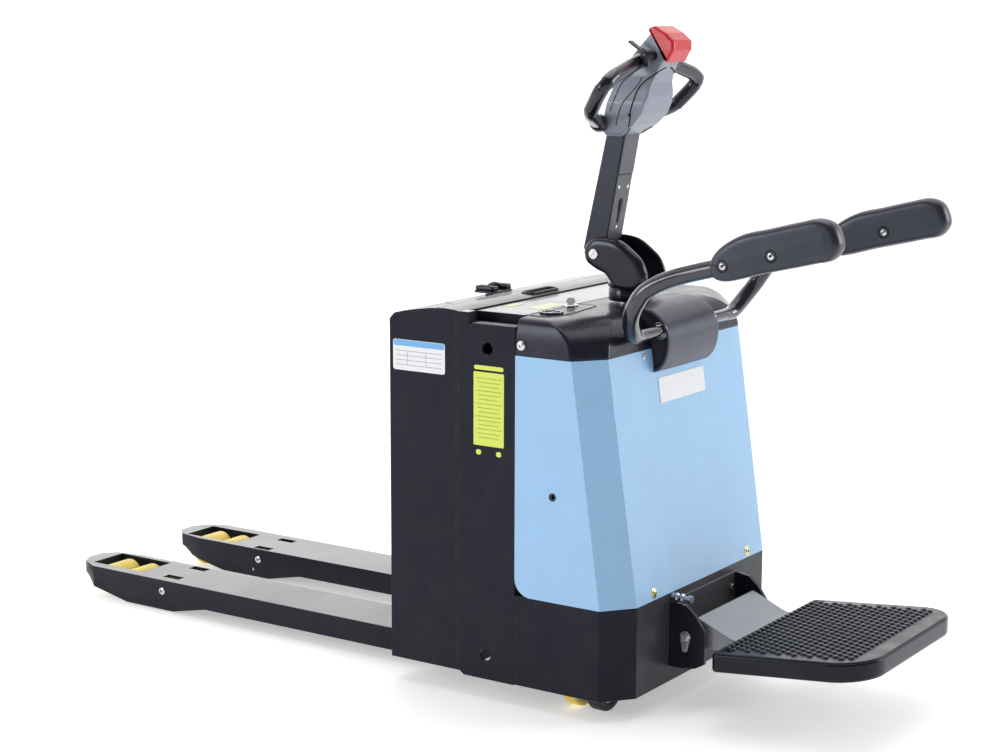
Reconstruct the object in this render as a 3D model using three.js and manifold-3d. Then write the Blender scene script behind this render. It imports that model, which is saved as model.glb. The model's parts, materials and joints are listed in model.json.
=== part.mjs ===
// Ride-on powered pallet truck with folding platform, side arms and tiller.
// Millimetres, +Z up, +X from the fork tips to the operator's platform.
// Drawing coordinates have x = 0 at the front of the battery box and the floor at z = 0;
// the exported group is shifted so that its origin is the centre of its footprint.
import * as THREE from "three";
import { mergeVertices } from "three/addons/utils/BufferGeometryUtils.js";
import Module from "manifold-3d";

const wasm = await Module();
wasm.setup();

// ---- driving dimensions ----
const GAP = 0.3; // between pieces that touch
const FORK = { tip: -1171, outer: 275, inner: 115, top: 85, sheet: 5, skirt: 28, skid: 4 };
const ROLLER = { radius: 40, halfWidth: 42, xs: [-1073, -987], y: 188, pin: 8 };
const ARM_PIVOT = { x: -839, z: 55, pin: 9 };
const BOX = { back: 201, half: 377, floor: 55, sheet: 4 };
const BODY = { front: 201.5, half: 380, hoodFront: 353, sheet: 6 };
const BASE = { low: 49, high: 261, deck: 238, corner: [580, 380], tail: [635, 309] };
const HOOD = { high: 817, corner: [500, 380], tail: [553, 309], sheet: 3 };
const STEER = { x: 425, wheel: 115, halfTread: 37, collarLow: 906, collarHigh: 938 };
const TILLER = { x: 359, z: 1015, lean: 11.3, half: 36, long: 322 };
const TILLER_DEPTH = { foot: [-42, 13], head: [-35, 8] }; // across the tiller, at each end
const SIDE_ARM = { x: 574, z: 859, stub: 14, tube: 19, pad: [263, 313] };
const FOOT = { x: 679, z: 166, pin: 12, slope: 0.1, inner: 797, outer: 1173, half: 262 };
const CASTOR = { x: 507, y: 255, trail: 30, wheel: 57, half: 18, offset: 32 };
const GAUGE = [375, -265]; // on the top cover, x and y
const KEY = [350, -143];
const SIDE_HOLES = [[277, 825], [273, 107]]; // through the side plates, x and z
const NECK = 140; // half width of the platform's neck, between the ears

// ---- looks ----
const LOOKS = {
  black: [0x1b1c20, 0.35, 0.3],
  rubber: [0x101113, 0.8, 0],
  plastic: [0x24252a, 0.5, 0],
  blue: [0x9cc6ec, 0.3, 0.1],
  grey: [0x8f95a2, 0.45, 0.1],
  steel: [0xb9bcc2, 0.3, 0.9],
  yellow: [0xe2c43a, 0.5, 0],
  red: [0xc5202c, 0.35, 0],
};

// ---- solids ----
function solid(geometry) {
  const bare = geometry.clone();
  bare.deleteAttribute("normal");
  bare.deleteAttribute("uv");
  const merged = mergeVertices(bare, 1e-4);
  return new wasm.Manifold(new wasm.Mesh({
    numProp: 3,
    vertProperties: new Float32Array(merged.attributes.position.array),
    triVerts: new Uint32Array(merged.index.array),
  }));
}

// An outline's plane: its two axes, then the axis that it is extruded along.
const PLANES = {
  x: [new THREE.Vector3(0, 1, 0), new THREE.Vector3(0, 0, 1), new THREE.Vector3(1, 0, 0)],
  y: [new THREE.Vector3(1, 0, 0), new THREE.Vector3(0, 0, 1), new THREE.Vector3(0, -1, 0)],
  z: [new THREE.Vector3(1, 0, 0), new THREE.Vector3(0, 1, 0), new THREE.Vector3(0, 0, 1)],
};

// A plate: the outline, in the plane across an axis, extruded between two places on it.
function plate(outline, axis, from, to) {
  const [low, high] = from < to ? [from, to] : [to, from];
  const shape = new THREE.Shape(outline.map(([u, v]) => new THREE.Vector2(u, v)));
  const geometry = new THREE.ExtrudeGeometry(shape, { depth: high - low, bevelEnabled: false });
  geometry.translate(0, 0, axis === "y" ? -high : low);
  geometry.applyMatrix4(new THREE.Matrix4().makeBasis(...PLANES[axis]));
  return solid(geometry);
}

function block([x0, x1], [y0, y1], [z0, z1]) {
  return plate([[x0, z0], [x1, z0], [x1, z1], [x0, z1]], "y", y0, y1);
}

// A regular outline about a centre; a flat one has a side, not a corner, at the bottom.
function ring(u, v, radius, sides = 16, flat = false) {
  const reach = flat ? radius / Math.cos(Math.PI / sides) : radius;
  return Array.from({ length: sides }, (_, i) => {
    const turn = (2 * Math.PI * (i + (flat ? 0.5 : 0))) / sides;
    return [u + reach * Math.cos(turn), v + reach * Math.sin(turn)];
  });
}

function rod(axis, u, v, radius, from, to, sides = 16) {
  return plate(ring(u, v, radius, sides), axis, from, to);
}

// The hole that lets a shaft of this radius turn in it, flats and all.
function bore(axis, u, v, shaft, from, to, sides = 16) {
  return rod(axis, u, v, (shaft + 0.25) / Math.cos(Math.PI / sides), from, to, sides);
}

// A tyre or roller on a shaft, standing on one of its flats.
function drum(axis, u, v, radius, shaft, from, to, sides) {
  const reach = from < to ? [from - 1, to + 1] : [from + 1, to - 1];
  return plate(ring(u, v, radius, sides, true), axis, from, to).subtract(
    bore(axis, u, v, shaft, ...reach, 12));
}

// A lever outline: two circles of different radius with straight flanks between them.
function lever([ax, az], ra, [bx, bz], rb, axis, from, to) {
  const turn = Math.atan2(bz - az, bx - ax);
  const flank = Math.acos((ra - rb) / Math.hypot(bx - ax, bz - az));
  const arc = (cx, cz, r, start, end) =>
    Array.from({ length: 6 }, (_, i) => {
      const angle = start + ((end - start) * i) / 5;
      return [cx + r * Math.cos(angle), cz + r * Math.sin(angle)];
    });
  return plate([
    ...arc(ax, az, ra, turn + flank, turn + 2 * Math.PI - flank),
    ...arc(bx, bz, rb, turn - flank, turn + flank),
  ], axis, from, to);
}

// A tube of round section along a smooth curve through points.
function tube(points, radius, steps, sides = 12) {
  const path = new THREE.CatmullRomCurve3(
    points.map((p) => new THREE.Vector3(...p)), false, "centripetal");
  const section = new THREE.Shape(ring(0, 0, radius, sides).map(([u, v]) => new THREE.Vector2(u, v)));
  return solid(new THREE.ExtrudeGeometry(section, { steps, extrudePath: path }));
}

// A body through closed rings of points, each ring convex and with the same count.
function loft(rings) {
  const count = rings[0].length;
  const faces = [];
  for (let i = 1; i < count - 1; i++) {
    faces.push(0, i + 1, i);
    const top = (rings.length - 1) * count;
    faces.push(top, top + i, top + i + 1);
  }
  for (let r = 0; r + 1 < rings.length; r++) {
    for (let i = 0; i < count; i++) {
      const [a, b] = [r * count + i, r * count + ((i + 1) % count)];
      faces.push(a, b, b + count, a, b + count, a + count);
    }
  }
  const geometry = new THREE.BufferGeometry();
  geometry.setAttribute("position", new THREE.Float32BufferAttribute(rings.flat(2), 3));
  geometry.setIndex(faces);
  return solid(geometry);
}

// A convex outline moved inward by a distance (outward if it is negative).
function inset(outline, distance) {
  const area = outline.reduce((sum, [x, y], i) => {
    const [u, v] = outline[(i + 1) % outline.length];
    return sum + x * v - u * y;
  }, 0);
  const d = Math.sign(area) * distance;
  const lines = outline.map(([x, y], i) => {
    const [u, v] = outline[(i + 1) % outline.length];
    const long = Math.hypot(u - x, v - y);
    const [nx, ny] = [-(v - y) / long, (u - x) / long];
    return [nx, ny, nx * x + ny * y + d];
  });
  return lines.map(([a, b, c], i) => {
    const [p, q, r] = lines[(i + lines.length - 1) % lines.length];
    const det = a * q - b * p;
    return [(c * q - b * r) / det, (a * r - c * p) / det];
  });
}

const mirrored = (outline, s) => outline.map(([x, y]) => [x, s * y]);
const joined = (first, ...rest) => rest.reduce((sum, piece) => sum.add(piece), first);
const cut = (first, ...rest) => rest.reduce((sum, piece) => sum.subtract(piece), first);

const truck = new THREE.Group();

function part(name, shape, look) {
  const mesh = shape.getMesh();
  const geometry = new THREE.BufferGeometry();
  geometry.setAttribute("position", new THREE.Float32BufferAttribute(mesh.vertProperties, 3));
  geometry.setIndex(Array.from(mesh.triVerts));
  geometry.computeVertexNormals();
  const [color, roughness, metalness] = LOOKS[look];
  const material = new THREE.MeshStandardMaterial({ color, roughness, metalness });
  const node = new THREE.Mesh(geometry, material);
  node.name = name;
  truck.add(node);
}

const SIDES = [["left", -1], ["right", 1]];

// ---- forks and load rollers ----
function fork(s) {
  const { tip, outer, inner, top, sheet, skirt, skid } = FORK;
  const plan = mirrored([
    [-GAP, outer], [-1092, outer], [-1150, outer - 30], [tip, 207], [tip + 2, 160],
    [-1138, 130], [-1060, inner], [-GAP, inner],
  ], s);
  const side = [
    [-GAP, skirt], [-689, skirt], [-803, skid], [-970, skid], [-1090, skirt], [-1124, 47],
    [tip - 1, 62], [tip - 1, top], [-GAP, top],
  ];
  const hollow = inset(plan, sheet).map(([x, y]) => [x > -10 ? 1 : x, y]);
  const slot = (y0, y1) => block([-861, -806], [s * y0, s * y1], [60, 90]);
  return cut(
    plate(side, "y", s * (inner - 1), s * (outer + 1)).intersect(plate(plan, "z", 0, top + 1)),
    plate(hollow, "z", -1, top - sheet),
    block([-1120, -940], [s * 133, s * 243], [60, 90]),
    slot(223, 247), slot(121, 145),
    bore("y", ARM_PIVOT.x, ARM_PIVOT.z, ARM_PIVOT.pin, s * 100, s * 290, 12),
    rod("y", -860, 23, 5, s * 100, s * 290, 10));
}

const bogieX = (ROLLER.xs[0] + ROLLER.xs[1]) / 2;

function rollerArm(s) {
  const { x, z, pin } = ARM_PIVOT;
  const cheek = (near) =>
    lever([x, z], 14, [bogieX, ROLLER.radius], 12, "y", s * (ROLLER.y + near), s * (ROLLER.y + near + 5));
  const stub = (from, to) =>
    rod("y", bogieX, ROLLER.radius, ROLLER.pin, s * (ROLLER.y + from), s * (ROLLER.y + to), 12);
  return joined(
    cheek(48), cheek(-53),
    stub(42.3, 49), stub(-49, -42.3),
    rod("y", x, z, 12, s * (ROLLER.y - 49), s * (ROLLER.y + 49), 12),
    rod("y", x, z, pin, s * (FORK.inner - 1.5), s * (FORK.outer + 2), 12),
    block([x - 6, x + 6], [s * (ROLLER.y - 9), s * (ROLLER.y + 9)], [z, z + 23]));
}

function bogie(s) {
  const [a, b] = ROLLER.xs;
  const link = (near) => cut(
    lever([a, ROLLER.radius], 12, [b, ROLLER.radius], 11.9, "y",
      s * (ROLLER.y + near), s * (ROLLER.y + near + 4.5)),
    bore("y", bogieX, ROLLER.radius, ROLLER.pin, s * 100, s * 290, 12));
  const axle = (x) =>
    rod("y", x, ROLLER.radius, ROLLER.pin, s * (ROLLER.y - 46), s * (ROLLER.y + 46), 12);
  return joined(link(42.8), link(-47.3), axle(a), axle(b));
}

for (const [side, s] of SIDES) {
  part(`fork_${side}`, fork(s), "black");
  part(`roller_arm_${side}`, rollerArm(s), "steel");
  part(`bogie_${side}`, bogie(s), "steel");
  ["front", "rear"].forEach((place, i) => {
    part(`load_roller_${place}_${side}`,
      drum("y", ROLLER.xs[i], ROLLER.radius, ROLLER.radius, ROLLER.pin,
        s * (ROLLER.y - ROLLER.halfWidth), s * (ROLLER.y + ROLLER.halfWidth), 20), "yellow");
  });
  const y = s * ROLLER.y;
  part(`push_rod_${side}`,
    tube([[-832, y, 73], [-700, y, 72], [-380, y, 57], [-60, y, 43], [170, y, 42]], 4.5, 10, 6),
    "steel");
}

// ---- battery box on the fork carriage ----
const boxTop = [[0, 872], [14, 886], [29, 890], [58, 896], [115, 905], [157, 908], [185, 906],
  [BOX.back, 903]];
const lidSheet = 4;

function batteryBox() {
  const { back, half, floor, sheet } = BOX;
  const rim = boxTop.map(([x, z]) => [x, z - lidSheet - GAP]);
  return cut(
    plate([[0, floor], [back, floor], ...rim.reverse()], "y", -half, half),
    block([sheet, back - sheet], [sheet - half, half - sheet], [floor + sheet, 950]));
}

function batteryLid() {
  const under = boxTop.map(([x, z]) => [x, z - lidSheet]);
  const grip = [[160, -50], [166, -58], [179, -58], [185, -50], [185, 50], [179, 58], [166, 58],
    [160, 50]];
  return cut(
    plate([...boxTop, ...under.reverse()], "y", -BOX.half, BOX.half),
    plate(grip, "z", 880, 930));
}

part("battery_box", batteryBox(), "black");
part("battery_lid", batteryLid(), "black");
part("battery", block([8, 193], [-366, 366], [62, 760]), "plastic");
part("battery_connector", joined(
  block([32, 98], [-86, 0], [903.6, 908]),
  block([40, 90], [-78, -52], [907, 920]), block([40, 90], [-34, -8], [907, 920]),
  rod("y", 65, 915, 6, -60, -20, 12)), "plastic");

const cylinderX = 252;
part("lift_rod", joined(
  rod("z", cylinderX, 0, 16, 300, 692), block([BOX.back + GAP, 284], [-60, 60], [690, 706])), "steel");
part("lift_cylinder", cut(
  rod("z", cylinderX, 0, 28, 62, 640), rod("z", cylinderX, 0, 16.5, 80, 650)), "black");

// ---- chassis ----
function sidePlate(s) {
  const { front, half, sheet } = BODY;
  const web = [[front, 56], [212, 48], [352, 48], [352, 881], [235, 881], [235, 876], [226, 876],
    [226, 905], [front, 905]];
  const flange = (x0, x1, z0, z1) => block([x0, x1], [s * (half - 40), s * half], [z0, z1]);
  return cut(
    joined(
      plate(web, "y", s * (half - sheet), s * half),
      flange(front, front + 5, 60, 870), flange(346, 352, 60, 870),
      block([235, 352], [s * (half - 34), s * half], [876, 881]),
      block([front, 226], [s * (half - 28), s * half], [876, 905])),
    ...SIDE_HOLES.map(([x, z]) => rod("y", x, z, 15, s * 300, s * 400)));
}

function baseFrame() {
  const { low, high, deck, corner, tail } = BASE;
  const plan = [[352.5, corner[1]], corner, tail, [tail[0], -tail[1]], [corner[0], -corner[1]],
    [352.5, -corner[1]]];
  const inner = inset(plan, BODY.sheet).map(([x, y]) => [x < 400 ? 340 : x, y]);
  const floor = inset(plan, 3).map(([x, y]) => [x < 400 ? 352.5 : x, y]);
  const posts = SIDES.map(([, s]) => rod("z", CASTOR.x, s * CASTOR.y, 42, 150, deck + 5));
  return cut(
    joined(
      cut(plate(plan, "z", low, high), plate(inner, "z", low - 1, high + 1)),
      plate(floor, "z", deck, deck + 10), block([303, 360], [-338, 338], [deck, deck + 10]), ...posts),
    rod("z", STEER.x, 0, 61, deck - 1, deck + 11, 20),
    ...SIDES.map(([, s]) => bore("z", CASTOR.x, s * CASTOR.y, 12, 140, deck + 20)));
}

// The hood's outer body, and the top cover's, grown by a distance on every upright side.
function hoodRing(z, grow, front) {
  const rise = (z - BASE.high) / (HOOD.high - BASE.high);
  const slide = ([x0, y0], [x1, y1]) => [x0 + (x1 - x0) * rise, y0 + (y1 - y0) * rise];
  const corner = slide(BASE.corner, HOOD.corner);
  const tail = slide(BASE.tail, HOOD.tail);
  const plan = inset([[front, corner[1]], [front, -corner[1]], [corner[0], -corner[1]],
    [tail[0], -tail[1]], tail, corner], -grow);
  return plan.map(([x, y]) => [x < 400 ? front : x, y, z]);
}

function hoodPanel() {
  const low = BASE.high + GAP;
  const { hoodFront: front } = BODY;
  const shell = cut(
    loft([hoodRing(low, 0, front), hoodRing(HOOD.high, 0, front)]),
    loft([hoodRing(low - 5, -HOOD.sheet, front - 20), hoodRing(HOOD.high + 5, -HOOD.sheet, front - 20)]));
  const round = (s) => cut(
    block([front - 5, front + 42], [s * 370, s * 385], [low - 5, low + 42]),
    rod("y", front + 42, low + 42, 42, s * 360, s * 390, 40));
  return cut(shell, round(-1), round(1), rod("y", 454, 505, 5, -400, 400, 12));
}

const COVER_RINGS = [
  [HOOD.high + GAP, 380, 500, 553, 309], [850, 378, 495, 549, 300], [880, 376, 470, 533, 262],
  [894, 370, 444, 512, 232], [900, 358, 430, 490, 218],
];

function coverBody(grow, front) {
  return loft(COVER_RINGS.map(([z, y, x, tail, ty], i) => {
    const plan = inset([[front, y], [front, -y], [x, -y], [tail, -ty], [tail, ty], [x, y]], -grow);
    const rise = i === 0 ? Math.min(grow, 0) * 3 : grow;
    return plan.map(([px, py]) => [px < 400 ? front : px, py, z + rise]);
  }));
}

function topCover() {
  return cut(
    joined(
      cut(coverBody(0, BODY.hoodFront), coverBody(-4, BODY.hoodFront - 20)),
      block([338, 360], [-316, 316], [893, 900])),
    rod("z", STEER.x, 0, 40, 880, 910),
    rod("z", ...GAUGE, 24.5, 880, 910), rod("z", ...KEY, 12.5, 880, 910, 16));
}

function armShroud() {
  const profile = [[480, 780], [555, 762], [575, 768], [590, 785], [599, 811], [600, 838],
    [591, 868], [575, 890], [556, 903], [520, 911], [480, 914]];
  return cut(
    plate(profile, "y", -121, 121),
    coverBody(GAP, BODY.hoodFront - 20),
    loft([hoodRing(BASE.high, GAP, 340), hoodRing(HOOD.high + 1, GAP, 340)]),
    rod("y", SIDE_ARM.x, SIDE_ARM.z, 20.5, -130, 130));
}

function platformEars() {
  const outline = [[641, 88], [668, 88], [704, 93], [727, 106], [728, 182], [702, 218], [678, 238],
    [641, 243]];
  const front = BASE.tail[0] + GAP;
  return cut(
    joined(
      block([front, 642], [-160, 160], [88, 243]),
      plate(outline, "y", -160, -150), plate(outline, "y", 150, 160)),
    bore("y", FOOT.x, FOOT.z, FOOT.pin, -200, 200));
}

for (const [side, s] of SIDES) part(`side_plate_${side}`, sidePlate(s), "black");
part("cross_plate", joined(
  block([296, 301], [-373.5, 373.5], [52, 870]), block([212, 297], [-150, 150], [52, 61])), "black");
part("top_strip", joined(
  block([206.8, 337], [-318, 318], [896, 900]),
  block([206.8, 337], [-318, -314], [872, 897]), block([206.8, 337], [314, 318], [872, 897])), "black");
part("base_frame", baseFrame(), "black");
part("hood_panel", hoodPanel(), "blue");
part("top_cover", topCover(), "plastic");
part("arm_shroud", armShroud(), "plastic");
part("arm_hinge_tube", cut(
  rod("y", SIDE_ARM.x, SIDE_ARM.z, 20.1, -119, 119),
  bore("y", SIDE_ARM.x, SIDE_ARM.z, SIDE_ARM.stub, -125, 125)), "steel");
part("platform_ears", platformEars(), "black");
part("platform_pin", joined(
  rod("y", FOOT.x, FOOT.z, FOOT.pin, -163, 163),
  lever([FOOT.x, FOOT.z], 13, [FOOT.x, FOOT.z - 30], 7, "y", -165, -160.4)), "steel");
part("stop_bolt", joined(
  rod("x", -150, 252, 6, BASE.tail[0] + GAP, 688, 12), rod("x", -150, 252, 9, 636, 645, 6),
  rod("x", -150, 252, 9, 678, 688, 6)), "steel");
part("charge_gauge", joined(
  rod("z", ...GAUGE, 24, 880, 901), rod("z", ...GAUGE, 28, 900.4, 903)), "plastic");
part("key_switch", cut(
  joined(rod("z", ...KEY, 12, 870, 901, 16), rod("z", ...KEY, 16, 900.4, 905, 16)),
  bore("z", ...KEY, 5, 885, 910, 12)), "steel");
part("key", joined(
  rod("z", ...KEY, 5, 886, 907, 12),
  block([KEY[0] - 1.2, KEY[0] + 1.2], [KEY[1] - 11, KEY[1] + 11], [906, 928])), "steel");
part("motor_controller", block([372, 462], [-330, -180], [300, 560]), "plastic");
part("hydraulic_unit", joined(
  rod("z", 430, 240, 52, 300, 470), block([375, 485], [180, 300], [468, 600])), "steel");

// ---- steered drive unit ----
part("drive_motor", joined(
  rod("z", STEER.x, 0, 82, 300.5, 520, 20), rod("z", STEER.x, 0, 30, 519, 620)), "black");
part("drive_gearbox", joined(
  rod("z", STEER.x, 0, 110, 248.5, 262, 20), rod("z", STEER.x, 0, 58, 232, 300, 20),
  block([STEER.x - 50, STEER.x + 50], [-40, 92], [231.5, 237.5]),
  lever([STEER.x, 185], 52, [STEER.x, STEER.wheel], 50, "y", 44, 92),
  rod("y", STEER.x, STEER.wheel, 18, -36, 46)), "plastic");
part("drive_wheel",
  drum("y", STEER.x, STEER.wheel, STEER.wheel, 18, -STEER.halfTread, STEER.halfTread, 32), "rubber");
part("steering_column", rod("z", STEER.x, 0, 32, 620.5, 905.5), "steel");

function steeringHead() {
  const cheek = [[327, 1018], [329, 1030], [338, 1041], [350, 1050], [365, 1054], [400, 1053],
    [427, 1046], [459, 1025], [481, 1005], [495, 971], [493, 950], [478, 936], [415, 936],
    [402, 948], [385, 968], [361, 978], [336, 993], [329, 1005]];
  const pivot = bore("y", TILLER.x, TILLER.z, 8, -70, 70);
  return cut(
    joined(
      rod("z", STEER.x, 0, 50, STEER.collarLow, STEER.collarHigh, 20),
      rod("z", STEER.x, 0, 62, STEER.collarHigh - 1, 950, 20),
      plate(cheek, "y", -56, -38), plate(cheek, "y", 38, 56)),
    pivot);
}

part("steering_head", steeringHead(), "plastic");
part("tiller_pivot", joined(
  rod("y", TILLER.x, TILLER.z, 8, -57, 57, 16), rod("y", TILLER.x, TILLER.z, 12, -60, -56.4, 16),
  rod("y", TILLER.x, TILLER.z, 12, 56.4, 60, 16)), "steel");

// ---- tiller and control head ----
const leanAngle = THREE.MathUtils.degToRad(TILLER.lean);
const along = (t, n) => [
  TILLER.x + t * Math.sin(leanAngle) + n * Math.cos(leanAngle),
  TILLER.z + t * Math.cos(leanAngle) - n * Math.sin(leanAngle),
];

// The tiller's box between two places along it, grown by a distance on every side.
function tillerBox(grow, low, top) {
  const { foot, head } = TILLER_DEPTH;
  const across = (t, i) => foot[i] + ((head[i] - foot[i]) * t) / TILLER.long + (i ? grow : -grow);
  return plate([
    along(low, across(low, 0)), along(low, across(low, 1)),
    along(top, across(top, 1)), along(top, across(top, 0)),
  ], "y", -TILLER.half - grow, TILLER.half + grow);
}

function tillerArm() {
  return cut(
    joined(tillerBox(0, 0, TILLER.long), rod("y", TILLER.x, TILLER.z, 30, -TILLER.half, TILLER.half)),
    tillerBox(-4, 45, 330),
    plate([along(75, 5), along(75, 30), along(135, 30), along(135, 5)], "y", -7, 7),
    bore("y", TILLER.x, TILLER.z, 8, -70, 70));
}

// The red button meets the head on a slanting seam: t runs down the seam, n out of the head.
const seam = (t, n) => [489 + 0.555 * t + 0.832 * n, 1532 - 0.832 * t + 0.555 * n];
const throttleAxis = [502, 1477];

function headSolid() {
  const profile = [[420, 1290], [460, 1318], [485, 1345], [500, 1385], [503, 1415], [512, 1438],
    seam(77, -5), seam(79, 5), seam(5, 5), [470, 1503], [452, 1484], [430, 1458], [404, 1405],
    [388, 1350], [378, 1315], [380, 1290]];
  const leaf = [[38, 1286], [55, 1300], [64, 1330], [65, 1370], [56, 1400], [44, 1430], [40.6, 1450],
    [40.6, 1545]];
  const outline = [...leaf, ...leaf.map(([y, z]) => [-y, z]).reverse()];
  return plate(profile, "y", -66, 66).intersect(plate(outline, "x", 360, 570));
}

function handleLoop(s, grow = 0) {
  return tube([
    [468, 24, 1474], [475, 42, 1469], [481, 187, 1430], [479, 211, 1416], [468, 214, 1402],
    [444, 202, 1372], [430, 192, 1356], [418, 172, 1346], [376, 66, 1319], [370, 48, 1315],
  ].map(([x, y, z]) => [x, s * y, z]), 16 + grow, 24, 10);
}

function throttle() {
  const [x, z] = throttleAxis;
  const wing = [[x, z + 9], [x - 18, z + 18], [x - 42, z + 34], [x - 46, z + 30], [x - 28, z + 18],
    [x - 6, z + 3]];
  return joined(
    rod("y", x, z, 8, -79, 79, 16),
    ...SIDES.flatMap(([, s]) => [
      lever([x, z], 9.5, [x + 3, z - 20], 6, "y", s * 60, s * 79),
      plate(wing, "y", s * 62, s * 79)]));
}

function controlHead() {
  const [x, z] = throttleAxis;
  return cut(
    headSolid(),
    tillerBox(0.4, -10, 330),
    handleLoop(-1, 0.4), handleLoop(1, 0.4),
    bore("y", x, z, 8, -90, 90),
    // pockets for the lift rocker and the horn button in the face towards the forks
    plate([[436, 1490], [462, 1512], [478, 1496], [452, 1470]], "y", -17, 17),
    plate([[398, 1440], [416, 1454], [433, 1432], [420, 1412]], "y", -11, 11));
}

function bellyButton() {
  const outer = [seam(-1, 0), [489, 1538], [505, 1544], [535, 1528], [556, 1510], [556, 1490],
    seam(84, 0)];
  return cut(
    plate(outer, "y", -45, 45),
    plate([seam(1.5, -2), seam(81.5, -2), seam(81.5, 13), seam(1.5, 13)], "y", -41.4, 41.4));
}

part("tiller_arm", tillerArm(), "black");
part("control_head", controlHead(), "grey");
for (const [side, s] of SIDES) part(`handle_${side}`, handleLoop(s), "plastic");
part("emergency_button", bellyButton(), "red");
part("throttle", throttle(), "rubber");
part("lift_rocker", plate([[446.5, 1489], [463, 1505.5], [474, 1496], [456, 1477.5]], "y", -15, 15), "rubber");
part("horn_button", plate([[406, 1436], [416, 1448], [427, 1431], [420, 1422]], "y", -9, 9), "rubber");

// ---- side arms ----
function sideArmPath(s) {
  return [[573, 238, 850], [577, 250, 870], [596, 286, 910], [612, 297, 938], [630, 300, 968],
    [654, 298, 985], [690, 294, 1003], [742, 290, 1020], [905, 288, 1062]].map(
    ([x, y, z]) => [x, s * y, z]);
}

function sideArm(s) {
  return joined(
    tube(sideArmPath(s), SIDE_ARM.tube, 18, 10),
    rod("y", SIDE_ARM.x, SIDE_ARM.z, SIDE_ARM.stub, s * 8, s * 244));
}

function armPad(s) {
  const outline = [[796, 1049], [797, 1032], [804, 1018], [826, 1010], [1040, 1062], [1079, 1073],
    [1096, 1095], [1096, 1116], [1079, 1147], [1049, 1157], [1000, 1147], [873, 1114], [826, 1088],
    [806, 1068]];
  const bolt = (x, z) => rod("y", x, z, 9, s * 255, s * 266, 16).add(
    rod("y", x, z, 9, s * 310, s * 320, 16));
  return cut(
    plate(outline, "y", s * SIDE_ARM.pad[0], s * SIDE_ARM.pad[1]),
    tube(sideArmPath(s), SIDE_ARM.tube + 1.2, 18, 10),
    bolt(833, 1045), bolt(946, 1074));
}

for (const [side, s] of SIDES) {
  part(`side_arm_${side}`, sideArm(s), "black");
  part(`arm_pad_${side}`, armPad(s), "rubber");
}

// ---- folding platform ----
const treadZ = (x) => 175 + FOOT.slope * (x - FOOT.inner);

function platformPlate() {
  const { inner, outer, half, x, z } = FOOT;
  const bend = (cx, cy, r, start) => Array.from({ length: 7 }, (_, i) => {
    const turn = start + (Math.PI / 2) * (i / 6);
    return [cx + r * Math.cos(turn), cy + r * Math.sin(turn)];
  });
  const plan = [
    [inner, 8 - half], [inner + 8, -half], ...bend(outer - 95, 95 - half, 95, -Math.PI / 2),
    ...bend(outer - 95, half - 95, 95, 0), [inner + 8, half], [inner, half - 8]];
  const side = [[inner - 1, treadZ(inner) - 5], [outer + 1, treadZ(outer) - 5],
    [outer + 1, treadZ(outer) - 46], [inner + 8, treadZ(inner) - 46], [inner - 1, treadZ(inner) - 38]];
  const neck = [[x + 12, 207], [x + 16, 209], [inner - 8, treadZ(inner)], [inner + 4, treadZ(inner) - 5],
    [inner + 4, 139], [x + 20, 139]];
  const deck = plate(side, "y", -half - 5, half + 5).intersect(plate(plan, "z", 100, 260));
  const hollow = plate([[inner + 8, 90], [outer - 12, 90], [outer - 12, treadZ(outer) - 11],
    [inner + 8, treadZ(inner) - 11]], "y", -half + 60, half - 60);
  return cut(
    joined(
      cut(deck, hollow),
      cut(plate(neck, "y", -NECK, NECK),
        plate([[x + 30, 90], [inner - 6, 90], [inner - 6, 166], [x + 30, 188]], "y", 8 - NECK, NECK - 8)),
      rod("y", x, z, 24, -148, 148), block([x - 2, x + 32], [-NECK, NECK], [150, 190])),
    bore("y", x, z, FOOT.pin, -160, 160));
}

function platformMat() {
  const { inner, outer, half } = FOOT;
  const round = (cx, cy, r, start) => Array.from({ length: 5 }, (_, i) => {
    const turn = start + (Math.PI / 2) * (i / 4);
    return [cx + r * Math.cos(turn), cy + r * Math.sin(turn)];
  });
  const plan = [[inner + 5, 4 - half], ...round(outer - 95, 95 - half, 91, -Math.PI / 2),
    ...round(outer - 95, half - 95, 91, 0), [inner + 5, half - 4]];
  const side = [[inner, treadZ(inner) - 5 + GAP], [outer, treadZ(outer) - 5 + GAP],
    [outer, treadZ(outer)], [inner, treadZ(inner)]];
  return plate(side, "y", -half, half).intersect(plate(plan, "z", 100, 260));
}

part("platform_plate", platformPlate(), "black");
part("platform_mat", platformMat(), "rubber");

// ---- stabiliser castors ----
for (const [side, s] of SIDES) {
  const { x, y, trail, wheel, half, offset } = CASTOR;
  const axle = [s * (y + trail), wheel];
  const leg = (x0, x1) => plate([[s * (y - 26), 140], [s * (y + 26), 140], [axle[0] + s * 18, 60],
    [axle[0] + s * 12, 44], [axle[0] - s * 12, 44], [axle[0] - s * 18, 60]], "x", x0, x1);
  const out = offset + half;
  part(`castor_fork_${side}`, joined(
    rod("z", x, s * y, 12, 135, 200, 16), rod("z", x, s * y, 36, 138, 149.5),
    block([x - out - 7, x + out + 7], [s * (y - 26), s * (y + 26)], [130, 139]),
    leg(x - out - 7, x - out - 2), leg(x + out + 2, x + out + 7),
    rod("x", ...axle, 8, x - out - 4, x + out + 4, 16)), "black");
  const tread = (cx) => plate(ring(...axle, wheel, 20, true), "x", cx - half, cx + half);
  part(`castor_wheels_${side}`, cut(
    joined(tread(x - offset), tread(x + offset), rod("x", ...axle, 16, x - offset, x + offset, 16)),
    bore("x", ...axle, 8, x - 70, x + 70)), "yellow");
}

truck.position.x = -(FORK.tip + FOOT.outer) / 2;

export default truck;
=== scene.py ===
"""Looks of a ride-on pallet truck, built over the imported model's frame.

Lengths are drawing millimetres: x from the battery box's front, y across the truck, z from the
floor. at() turns a drawing point into the frame's metres.
"""
import json
import math

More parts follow.
